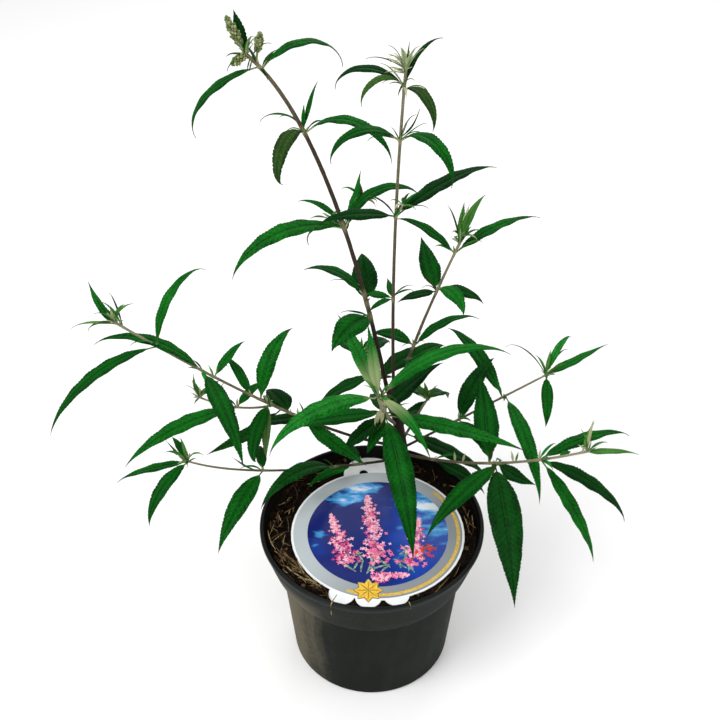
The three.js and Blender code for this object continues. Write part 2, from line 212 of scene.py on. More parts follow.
def tubes(lines: np.ndarray, radii: np.ndarray, sides: int, finish: np.ndarray) -> Surface:
    """Many closed tubes at once, each carried along its own line with level side vectors.

    Args:
        lines: Centre points as tubes x stations x 3.
        radii: Radii as tubes x stations.
        sides: Corners of each ring.
        finish: The finish number of each tube.

    Returns:
        All the tubes as one surface.
    """
    along = unit(np.gradient(lines, axis=1))
    side = unit(np.cross(along, np.array([0.03, 0.05, 1.0])))
    out = np.cross(side, along)
    rings = lines[:, :, None] + spokes(side, out, turns(sides)) * radii[:, :, None, None]
    one = capped(rings[0], lines[0, 0], lines[0, -1])
    points = np.concatenate([rings.reshape(len(lines), -1, 3), lines[:, :1], lines[:, -1:]], 1)
    return repeated(one, points, finish)


def stamped(
    pattern: Surface, frames: np.ndarray, places: np.ndarray, finish: np.ndarray,
) -> Surface:
    """Copies of a small closed pattern, each turned and stretched by its own frame.

    Args:
        pattern: The surface to repeat.
        frames: Copies x 3 x 3, whose rows are the copy's own x, y and z.
        places: Copies x 3, where each copy's middle goes.
        finish: The finish number of each copy.

    Returns:
        All the copies as one surface.
    """
    points = np.einsum("pi,nij->npj", pattern.points, frames) + places[:, None]
    return repeated(pattern, points, finish)


def blob(sides: int = 6, rings: int = 3) -> Surface:
    """A small ball of radius one: rings at even turns from pole to pole."""
    polar = np.linspace(0, np.pi, rings + 2)[1:-1, None]
    points = circled(np.sin(polar), turns(sides), np.cos(polar))
    return capped(points, np.array([0, 0, 1.0]), np.array([0, 0, -1.0]))


def lathe(profile: np.ndarray, sides: int) -> Surface:
    """A profile of radius and height turned about Z, whose two ends lie on the axis.

    Args:
        profile: Points x 2, radius and height, from one end on the axis to the other.
        sides: Places round the axis.

    Returns:
        The closed surface.
    """
    inner = profile[1:-1]
    rings = circled(inner[:, :1], turns(sides), inner[:, 1:])
    return capped(rings, np.array([0, 0, profile[0, 1]]), np.array([0, 0, profile[-1, 1]]))


def eased(profile: np.ndarray, ease: float, reach: float) -> np.ndarray:
    """A profile with each corner cut to a short curve and each long side given more points.

    Args:
        profile: Points x 2.
        ease: How far from a corner its curve begins.
        reach: The longest side left without a point.

    Returns:
        The finer profile, with the same two ends.
    """
    finer = [profile[0]]
    for before, corner, after in zip(profile, profile[1:], profile[2:]):
        back, on = before - corner, after - corner
        start = corner + back * min(0.4, ease / np.linalg.norm(back))
        stop = corner + on * min(0.4, ease / np.linalg.norm(on))
        finer += [start, (start + 2 * corner + stop) / 4, stop]
    finer.append(profile[-1])
    filled = [finer[0]]
    for before, after in zip(finer, finer[1:]):
        parts = max(1, math.ceil(np.linalg.norm(after - before) / reach))
        filled += [before + (after - before) * k / parts for k in range(1, parts + 1)]
    return np.array(filled)


def placed(name: str, data: bpy.types.ID) -> bpy.types.Object:
    """A new object in the scene that shows a mesh, a light or a camera."""
    made = bpy.data.objects.new(name, data)
    bpy.context.scene.collection.objects.link(made)
    return made


def shown(
    name: str, surface: Surface, finishes: list[bpy.types.Material],
    replaced: tuple[str, ...] = (), sharp: float = 180.0,
) -> bpy.types.Object:
    """Makes a surface a piece of the object that rides on the plant's one body.

    Args:
        name: The piece's name.
        surface: Its shape in millimetres.
        finishes: Its materials, in the order of the finish numbers.
        replaced: The CAD nodes it stands for.
        sharp: The angle between faces from which an edge is shaded sharp.

    Returns:
        The new object.
    """
    mesh = bpy.data.meshes.new(name)
    mesh.vertices.add(len(surface.points))
    mesh.vertices.foreach_set("co", (surface.points * MM).astype(np.float32).ravel())
    corners = np.concatenate([surface.quads.ravel(), surface.tris.ravel()]).astype(np.int32)
    sizes = np.repeat([4, 3], [len(surface.quads), len(surface.tris)])
    mesh.loops.add(len(corners))
    mesh.loops.foreach_set("vertex_index", corners)
    mesh.polygons.add(len(sizes))
    mesh.polygons.foreach_set("loop_start", (np.cumsum(sizes) - sizes).astype(np.int32))
    numbers = np.concatenate([surface.quad_finish, surface.tri_finish]).astype(np.int32)
    mesh.polygons.foreach_set("material_index", numbers)
    mesh.polygons.foreach_set("use_smooth", np.ones(len(sizes), bool))
    for mark, values in surface.marks.items():
        vector = values.ndim == 2
        layer = mesh.attributes.new(mark, "FLOAT_VECTOR" if vector else "FLOAT", "POINT")
        layer.data.foreach_set("vector" if vector else "value", values.astype(np.float32).ravel())
    mesh.update(calc_edges=True)
    mesh.validate()
    if sharp < 180:
        mesh.set_sharp_from_angle(angle=math.radians(sharp))
    for finish in finishes:
        mesh.materials.append(finish)
    piece = placed(name, mesh)
    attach(piece, BODY)
    if replaced:
        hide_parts(*replaced)
    faces = len(surface.quads) * 2 + len(surface.tris)
    LOG.info("%s: %d triangles", name, faces)
    return piece


# --- Materials ------------------------------------------------------------------------------

Colour = tuple[float, float, float]


def tint(code: str) -> Colour:
    """The linear colour of a six-digit code."""
    parts = [int(code[i:i + 2], 16) / 255 for i in (0, 2, 4)]
    return tuple(p / 12.92 if p <= 0.04045 else ((p + 0.055) / 1.055) ** 2.4 for p in parts)


class Flow:
    """A value that runs through a recipe. Python's operators add its Math nodes."""

    def __init__(self, recipe: "Recipe", socket: bpy.types.NodeSocket) -> None:
        """Keeps the recipe and the socket that the value comes from."""
        self.recipe = recipe
        self.socket = socket

    def __add__(self, other: "Flow | float") -> "Flow":
        """The sum."""
        return self.recipe.math("ADD", self, other)

    def __radd__(self, other: float) -> "Flow":
        """The sum, with the number first."""
        return self.recipe.math("ADD", other, self)

    def __sub__(self, other: "Flow | float") -> "Flow":
        """The difference."""
        return self.recipe.math("SUBTRACT", self, other)

    def __rsub__(self, other: float) -> "Flow":
        """The difference, with the number first."""
        return self.recipe.math("SUBTRACT", other, self)

    def __mul__(self, other: "Flow | float") -> "Flow":
        """The product."""
        return self.recipe.math("MULTIPLY", self, other)

    def __rmul__(self, other: float) -> "Flow":
        """The product, with the number first."""
        return self.recipe.math("MULTIPLY", other, self)

    def __truediv__(self, other: "Flow | float") -> "Flow":
        """The quotient."""
        return self.recipe.math("DIVIDE", self, other)

    def __pow__(self, other: float) -> "Flow":
        """The power."""
        return self.recipe.math("POWER", self, other)


class Recipe:
    """A material's node tree, built from short calls."""

    def __init__(self, name: str) -> None:
        """Starts an empty material of that name."""
        self.material = bpy.data.materials.new(name)
        self.material.use_nodes = True
        self.tree = self.material.node_tree
        self.tree.nodes.clear()

    def node(
        self, kind: str, settings: dict | None = None, inputs: dict | None = None,
    ) -> bpy.types.Node:
        """Adds a node.

        Args:
            kind: The node's type.
            settings: Its own settings; "stops" are a colour ramp's places and colours.
            inputs: Values or flows for its sockets, by name or number.

        Returns:
            The node.
        """
        made = self.tree.nodes.new(kind)
        for key, value in (settings or {}).items():
            if key == "stops":
                self._set_stops(made.color_ramp, value)
            else:
                setattr(made, key, value)
        for key, value in (inputs or {}).items():
            if isinstance(value, Flow):
                self.tree.links.new(value.socket, made.inputs[key])
            elif isinstance(value, tuple) and len(value) == 3 and made.inputs[key].type == "RGBA":
                made.inputs[key].default_value = (*value, 1.0)
            else:
                made.inputs[key].default_value = value
        return made

    @staticmethod
    def _set_stops(ramp: bpy.types.ColorRamp, stops: list[tuple[float, Colour]]) -> None:
        """Gives a colour ramp its places and colours."""
        while len(ramp.elements) < len(stops):
            ramp.elements.new(0.5)
        for element, (place, colour) in zip(ramp.elements, stops):
            element.position = place
            element.color = (*colour, 1.0)

    def flow(
        self, kind: str, output: "int | str", settings: dict | None = None,
        inputs: dict | None = None,
    ) -> Flow:
        """What one output of a new node gives."""
        return Flow(self, self.node(kind, settings, inputs).outputs[output])

    def math(self, operation: str, *values: "Flow | float") -> Flow:
        """A Math node on values."""
        return self.flow("ShaderNodeMath", 0, {"operation": operation}, dict(enumerate(values)))

    def mix(self, share: "Flow | float", first: "Flow | Colour", second: "Flow | Colour") -> Flow:
        """The colour that lies share of the way from first to second."""
        return self.flow("ShaderNodeMix", 2, {"data_type": "RGBA"}, {0: share, 6: first, 7: second})

    def place(self) -> Flow:
        """The point's Object coordinates, in metres."""
        return self.flow("ShaderNodeTexCoord", "Object")

    def mark(self, name: str) -> Flow:
        """A mark of three values that the mesh carries."""
        return self.flow("ShaderNodeAttribute", "Vector", {"attribute_name": name})

    def level(self, name: str) -> Flow:
        """A mark of one value that the mesh carries."""
        return self.flow("ShaderNodeAttribute", "Fac", {"attribute_name": name})

    def parts(self, vector: Flow) -> tuple[Flow, Flow, Flow]:
        """The three values of a vector."""
        made = self.node("ShaderNodeSeparateXYZ", inputs={0: vector})
        return tuple(Flow(self, made.outputs[i]) for i in range(3))

    def stretched(self, vector: Flow, by: tuple[float, float, float]) -> Flow:
        """A vector with each of its values multiplied."""
        return self.flow("ShaderNodeVectorMath", 0, {"operation": "MULTIPLY"}, {0: vector, 1: by})

    def noise(self, vector: Flow, scale: float, detail: float = 3.0, rough: float = 0.55) -> Flow:
        """Soft noise between 0 and 1."""
        return self.flow("ShaderNodeTexNoise", "Fac", inputs={
            "Vector": vector, "Scale": scale, "Detail": detail, "Roughness": rough,
        })

    def smooth(self, value: Flow, low: float, high: float) -> Flow:
        """0 below low, 1 above high and a smooth step between."""
        return self.flow("ShaderNodeMapRange", "Result", {"interpolation_type": "SMOOTHSTEP"}, {
            "Value": value, "From Min": low, "From Max": high,
        })

    def ramp(self, value: Flow, stops: list[tuple[float, Colour]]) -> Flow:
        """The colour that a ramp gives the value."""
        return self.flow("ShaderNodeValToRGB", "Color", {"stops": stops}, {0: value})

    def relief(self, height: Flow, depth_mm: float, strength: float = 1.0) -> Flow:
        """The normal that a height of 0 to 1 gives at a depth in millimetres."""
        return self.flow("ShaderNodeBump", "Normal", inputs={
            "Height": height, "Distance": depth_mm * MM, "Strength": strength,
        })

    def done(
        self, colour: "Flow | Colour", roughness: "Flow | float", normal: Flow | None = None,
        **fixed: float,
    ) -> bpy.types.Material:
        """Joins everything in the shader and the output.

        Args:
            colour: The base colour.
            roughness: The roughness.
            normal: The normal, where there is relief.
            fixed: Other sockets, with underscores for spaces, that are the same all over.

        Returns:
            The finished material.
        """
        inputs = {"Base Color": colour, "Roughness": roughness}
        if normal is not None:
            inputs["Normal"] = normal
        inputs |= {key.replace("_", " "): value for key, value in fixed.items()}
        shader = self.node("ShaderNodeBsdfPrincipled", inputs=inputs)
        out = self.node("ShaderNodeOutputMaterial")
        self.tree.links.new(shader.outputs[0], out.inputs["Surface"])
        return self.material


@dataclass(frozen=True)
class LeafFinish:
    """A leaf's face: sunk or raised side veins, a rib, wrinkles and a paler foot, with painted
    shade in the hollows of the wrinkles and in the rib's groove, and painted highlight on their
    crests and in a band beside the rib.

    The mark blade holds the vein count along the leaf, the share out from the rib and the share
    along the leaf. A vein lies at each whole count.
    """

    name: str
    valley_shade: Colour
    body: Colour
    crest_highlight: Colour
    rib: Colour
    foot: Colour
    tip: Colour = tint("241f12")
    roughness: float = 0.42
    relief_mm: float = 0.3
    rib_share: float = 0.07
    gloss: float = 0.05
    felt: float = 0.0

    def material(self) -> bpy.types.Material:
        """The leaf's material: painted valley shade to crest highlight by sin²(pi · vein count) and
        noise.
        """
        r = Recipe(self.name)
        veins, out, along = r.parts(r.mark("blade"))
        tone = r.level("tone")
        between = r.math("SINE", veins * math.pi) ** 2.0
        wrinkle = r.noise(r.place(), 900.0, 3.0, 0.6)
        cloud = r.noise(r.place(), 70.0, 2.0)
        # Painted shade in the wrinkles' hollows and painted highlight on their crests: the colour
        # runs from the valley shade to the crest highlight with the wrinkle noise that also drives
        # the relief, mottled by a broad noise and each leaf's tone.
        swell = between * 0.06 + wrinkle * 0.62 + cloud * 0.32
        base = r.mix(r.smooth(swell, 0.3, 0.72), self.valley_shade, self.body)
        base = r.mix(r.smooth(swell + tone * 0.25, 0.55, 1.05), base, self.crest_highlight)
        # Painted highlight in a band on each side of the rib.
        beside = r.smooth(out, 0.1, 0.2) * (1.0 - r.smooth(out, 0.35, 0.75))
        base = r.mix(beside * 0.22, base, self.crest_highlight)
        # Painted shade in the rib's groove.
        rib_groove_shade = r.smooth(out, 0.0, 0.03) * (1.0 - r.smooth(out, 0.05, 0.12))
        base = r.mix(rib_groove_shade * 0.45, base, self.valley_shade)
        rib = 1.0 - r.smooth(out, self.rib_share * 0.3, self.rib_share)
        base = r.mix(rib * (1.0 - along * 0.9) * 0.5, base, self.rib)
        pale = 1.0 - r.smooth(along / r.level("foot"), 0.3, 1.5)
        base = r.mix(pale * 0.75, base, self.foot)
        base = r.mix(r.smooth(along, 0.9, 0.98) * 0.9, base, self.tip)
        height = between * 0.25 + wrinkle * 0.7 - rib * 0.5
        normal = r.relief(height, self.relief_mm)
        rough = self.roughness + wrinkle * 0.2
        return r.done(base, rough, normal, Specular_IOR_Level=self.gloss,
                      Sheen_Weight=self.felt, Sheen_Roughness=0.6)


@dataclass(frozen=True)
class StemFinish:
    """Bark that is brown and speckled at the foot and pale felt towards the tip.

    The mark skin holds millimetres along the stem and the cosine and sine round it, and the mark
    age is 0 at the soil and 1 at the tip.
    """

    name: str = "stem_skin"
    old: Colour = tint("271a12")
    middle: Colour = tint("544636")
    young: Colour = tint("847c60")
    tip: Colour = tint("b0ac8c")
    speck: Colour = tint("170f0a")
    node: Colour = tint("9a9070")

    def material(self) -> bpy.types.Material:
        """The stem's material: a ramp over age, darker streaks and specks, paler nodes."""
        r = Recipe(self.name)
        skin, age = r.mark("skin"), r.level("age")
        streak = r.noise(r.stretched(skin, (0.07, 1.6, 1.6)), 1.8, 3.0, 0.65)
        fleck = r.noise(r.stretched(skin, (0.5, 1.4, 1.4)), 2.2, 2.0)
        base = r.ramp(age + (streak - 0.5) * 0.3, [
            (0.0, self.old), (0.34, self.middle), (0.62, self.young), (0.92, self.tip),
        ])
        marks = r.smooth(fleck, 0.46, 0.56) * (1.0 - r.smooth(age, 0.6, 1.0) * 0.5)
        base = r.mix(marks * 0.85, base, self.speck)
        base = r.mix(r.level("swell") * 0.55, base, self.node)
        height = streak * 0.7 + fleck * 0.5
        return r.done(base, 0.72 + streak * 0.2, r.relief(height, 0.5), Specular_IOR_Level=0.1,
                      Sheen_Weight=0.05, Sheen_Roughness=0.5)


@dataclass(frozen=True)
class TwoTone:
    """Two colours parted by noise, over a relief of the same noise.

    Attributes:
        name: The material's name.
        dark: The colour where the noise is low.
        light: The colour where it is high.
        scale: How fine the noise is.
        detail: How many layers the noise has.
        grain: How strong its finer layers are.
        parting: The noise at which the dark ends and at which the light begins.
        roughness: The roughness all over.
        relief_mm: The depth of the relief.
        strength: The strength of the relief.
        fixed: Further sockets that are the same all over.
    """

    name: str
    dark: Colour
    light: Colour
    scale: float = 700.0
    detail: float = 2.0
    grain: float = 0.55
    parting: tuple[float, float] = (0.35, 0.65)
    roughness: float = 0.8
    relief_mm: float = 0.3
    strength: float = 1.0
    fixed: tuple[tuple[str, float], ...] = (("Sheen_Weight", 0.2), ("Sheen_Roughness", 0.6))

    def material(self) -> bpy.types.Material:
        """The material: dark to light as the noise rises through the parting."""
        r = Recipe(self.name)
        noise = r.noise(r.place(), self.scale, self.detail, self.grain)
        base = r.mix(r.smooth(noise, *self.parting), self.dark, self.light)
        relief = r.relief(noise, self.relief_mm, self.strength)
        return r.done(base, self.roughness, relief, **dict(self.fixed))


class BudFinish(TwoTone):
    """Small closed buds, olive with paler and darker patches and fine felt."""


@dataclass(frozen=True)
class StrawFinish(TwoTone):
    """Dry stalk or wood fibre, streaked along its grain."""

    scale: float = 520.0
    detail: float = 3.0
    grain: float = 0.6
    parting: tuple[float, float] = (0.38, 0.62)
    roughness: float = 0.72
    relief_mm: float = 0.4
    fixed: tuple[tuple[str, float], ...] = (("Specular_IOR_Level", 0.12),)


@dataclass(frozen=True)
class InkFinish(TwoTone):
    """One printed colour with a lighter grain."""

    scale: float = 800.0
    parting: tuple[float, float] = (0.4, 0.65)
    roughness: float = 0.32
    relief_mm: float = 0.05
    strength: float = 0.2
    fixed: tuple[tuple[str, float], ...] = (("Specular_IOR_Level", 0.16),)


@dataclass(frozen=True)
class PotFinish:
    """Charcoal moulded plastic with tan dust on its flanks and a smoother lip, which is painted a
    lighter bluish grey as a painted highlight.
    """

    name: str = "charcoal_plastic"
    plastic: Colour = tint("0b0f0c")
    worn: Colour = tint("151a15")
    dust: Colour = tint("6b6450")
    # The lip's colour is lighter and bluer than the plastic: a painted highlight.
    lip: Colour = tint("1c2221")
    # Near-black for the inner wall above the soil.
    inner_wall_dark: Colour = tint("0a0805")

    def material(self) -> bpy.types.Material:
        """The pot's material: dust = noise · distance to the left, less to the right, · height."""
        r = Recipe(self.name)
        place = r.place()
        x, y, z = r.parts(place)
        broad = r.noise(place, 16.0, 4.0, 0.6)
        fine = r.noise(place, 260.0, 4.0, 0.7)
        runs = r.noise(r.stretched(place, (1.0, 1.0, 0.12)), 75.0, 3.0)
        flank = r.smooth(0.0 - x, 0.016, 0.062) * 0.8 + r.smooth(x, 0.044, 0.07) * 0.35
        below = 1.0 - r.smooth(z, 0.1, 0.122)
        base = r.mix(r.smooth(broad * 0.6 + runs * 0.4, 0.42, 0.62), self.plastic, self.worn)
        smears = broad * 0.8 + runs * 0.5 + fine * 0.35
        dusty = r.smooth(smears + flank * 0.6, 0.88, 1.3) * below
        base = r.mix(dusty * (0.05 + flank * 0.8), base, self.dust)
        base = r.mix(r.smooth(fine, 0.6, 0.74) * (0.1 + flank * 0.3), base, self.dust)
        # The top band: a painted highlight in the colour, and a really smoother finish in the
        # roughness.
        lip = r.smooth(z, 0.1245, 0.1265)
        base = r.mix(lip, base, self.lip)
        # The inner wall above the soil line is made near-black.
        reach = r.math("SQRT", x * x + y * y)
        within = 1.0 - r.smooth(reach - z * 0.389, 0.0337, 0.0345)
        inside = within * (1.0 - r.smooth(z, 0.1296, 0.1304))
        base = r.mix(inside * (0.85 + broad * 0.3), base, self.inner_wall_dark)
        rough = 0.6 + fine * 0.16 - lip * 0.2
        height = fine * 0.5 + runs * 0.5
        return r.done(base, rough, r.relief(height, 0.12), Specular_IOR_Level=0.12)


@dataclass(frozen=True)
class PeatFinish:
    """Dark moist peat with brown crumbs."""

    name: str
    dark: Colour
    brown: Colour

    def material(self) -> bpy.types.Material:
        """The peat's material: dark and brown by two noises, over a rough relief."""
        r = Recipe(self.name)
        place = r.place()
        crumbs = r.noise(place, 380.0, 4.0, 0.7)
        patches = r.noise(place, 60.0, 3.0)
        base = r.mix(r.smooth(crumbs + patches * 0.4, 0.55, 0.95), self.dark, self.brown)
        return r.done(base, 0.92, r.relief(crumbs, 1.6), Specular_IOR_Level=0.08)


def finished(kind: type, *rows: tuple[str, str, str]) -> list[bpy.types.Material]:
    """Materials of one kind, from rows of a name and two colour codes."""
    return [kind(name, tint(dark), tint(light)).material() for name, dark, light in rows]


@dataclass(frozen=True)
class CardFinish:
    """Smooth white plastic card, a little smudged."""

    name: str = "white_card"
    card: Colour = tint("eef0f1")
    smudge: Colour = tint("c9cbc8")

    def material(self) -> bpy.types.Material:
        """The card's material: white with faint smudges and an even gloss."""
        r = Recipe(self.name)
        soft = r.noise(r.place(), 45.0, 3.0)
        base = r.mix(r.smooth(soft, 0.5, 0.75) * 0.35, self.card, self.smudge)
        return r.done(base, 0.28 + soft * 0.1, r.relief(soft, 0.1, 0.3), Specular_IOR_Level=0.16)


@dataclass(frozen=True)
class SilverFinish:
    """A printed ring that runs from pale silver to mid grey across the label."""

    name: str = "silver_ring"
    pale: Colour = tint("b4bcc0")
    grey: Colour = tint("868c90")

    def material(self) -> bpy.types.Material:
        """The ring's material: pale to grey along x - y, with a very fine grain."""
        r = Recipe(self.name)
        place = r.place()
        x, y, _ = r.parts(place)
        grain = r.noise(place, 900.0, 1.0)
        base = r.mix(r.smooth(x - y * 0.8 + grain * 0.006, -0.035, 0.075), self.pale, self.grey)
        return r.done(base, 0.3, r.relief(grain, 0.05, 0.2), Specular_IOR_Level=0.16)


@dataclass(frozen=True)
class SkyFinish:
    """A printed summer sky: deep blue with soft clouds."""

    name: str = "printed_sky"
    deep: Colour = tint("0c1b66")
    blue: Colour = tint("1240a4")
    haze: Colour = tint("3f9bdc")
    cloud: Colour = tint("e2ecf6")

    def material(self) -> bpy.types.Material:
        """The sky's material: blues by a broad noise, and clouds where two noises are high."""
        r = Recipe(self.name)
        place = r.place()
        x, y, _ = r.parts(place)
        broad = r.noise(place, 22.0, 2.0)
        wisps = r.noise(r.stretched(place, (0.7, 1.5, 1.0)), 52.0, 5.0, 0.6)
        base = r.mix(r.smooth(broad + x * 3.0, 0.35, 0.75), self.deep, self.blue)
        height = r.smooth(wisps * 0.8 + broad * 0.55 + y * 2.2, 0.66, 0.98)
        base = r.mix(r.smooth(height, 0.05, 0.5), base, self.haze)
        base = r.mix(r.smooth(height, 0.45, 1.0), base, self.cloud)
        return r.done(base, 0.26, r.relief(wisps, 0.05, 0.1), Specular_IOR_Level=0.16)


@dataclass(frozen=True)
class FloorFinish:
    """A plain pale floor."""

    name: str = "pale_floor"
    colour: Colour = (0.97, 0.97, 0.97)

    def material(self) -> bpy.types.Material:
        """An even, matte near-white."""
        return Recipe(self.name).done(self.colour, 0.9, Specular_IOR_Level=0.1)


# --- The plant ------------------------------------------------------------------------------


class Tone(IntEnum):
    """The finishes of the leaves' upper faces, then those of their undersides.

    The deep upper finish is the mid green with painted shade, for leaves that lie in shade, and the
    bright one is the mid green with painted light, for leaves that lie in the light; the dark
    underside is the pale underside with painted shade.
    """

    SHADED = 0
    MID = 1
    LIT = 2
    FRESH = 3
    OLIVE = 4
    FELT = 5
    UNDER = 6
    UNDER_SHADED = 7


SHADED, MID, LIT, FRESH, OLIVE, FELT, UNDER, UNDER_SHADED = Tone


def leaf(name: str, *codes: str, **other: "float | Colour") -> LeafFinish:
    """A leaf's finish from the colour codes of its valley shade, body, crest highlight, rib and
    foot.
    """
    return LeafFinish(f"leaf_{name}", *map(tint, codes), **other)


LEAF_FINISHES = (
    # The deep and bright finishes are the mid green with painted shade and painted light; the dark
    # underside is the pale one with painted shade.
    leaf("deep", "011b05", "033609", "0e5512", "195219", "2a5527"),
    leaf("mid", "012806", "044d0c", "15791c", "247126", "447636"),
    leaf("bright", "043f0b", "096b15", "309637", "3d8c3b", "abb184"),
    leaf("fresh", "24581a", "3d7a2b", "6c9e50", "7da75f", "aab280", roughness=0.6),
    leaf("olive", "12250b", "234216", "496f30", "5a753f", "8d8a5e", roughness=0.6),
    leaf("felt", "7d8452", "adb184", "d6d5b0", "d9d8b6", "c8c49c", roughness=0.85,
         tip=tint("6b5f42"), felt=0.2),
    leaf("under", "5f7f48", "84a06a", "abbc8c", "bcc89c", "b6bc90", roughness=0.85,
         rib_share=0.1, felt=0.15),
    leaf("under_shaded", "2b4819", "466b2c", "6f9050", "8fa66a", "8fa06c", roughness=0.8,
         rib_share=0.1, felt=0.1),
)


class Form(NamedTuple):
    """A leaf's place on its cane, its sizes, its heading, and its rise and droop."""

    share: float
    length: float
    width: float
    heading: float
    rise: float
    droop: float


def towards(heading: float, rise: "float | np.ndarray") -> np.ndarray:
    """The direction of a heading and one rise or several, in degrees."""
    turn, slope = math.radians(heading), np.radians(rise)
    return np.stack([
        np.cos(slope) * math.cos(turn), np.cos(slope) * math.sin(turn), np.sin(slope),
    ], -1)


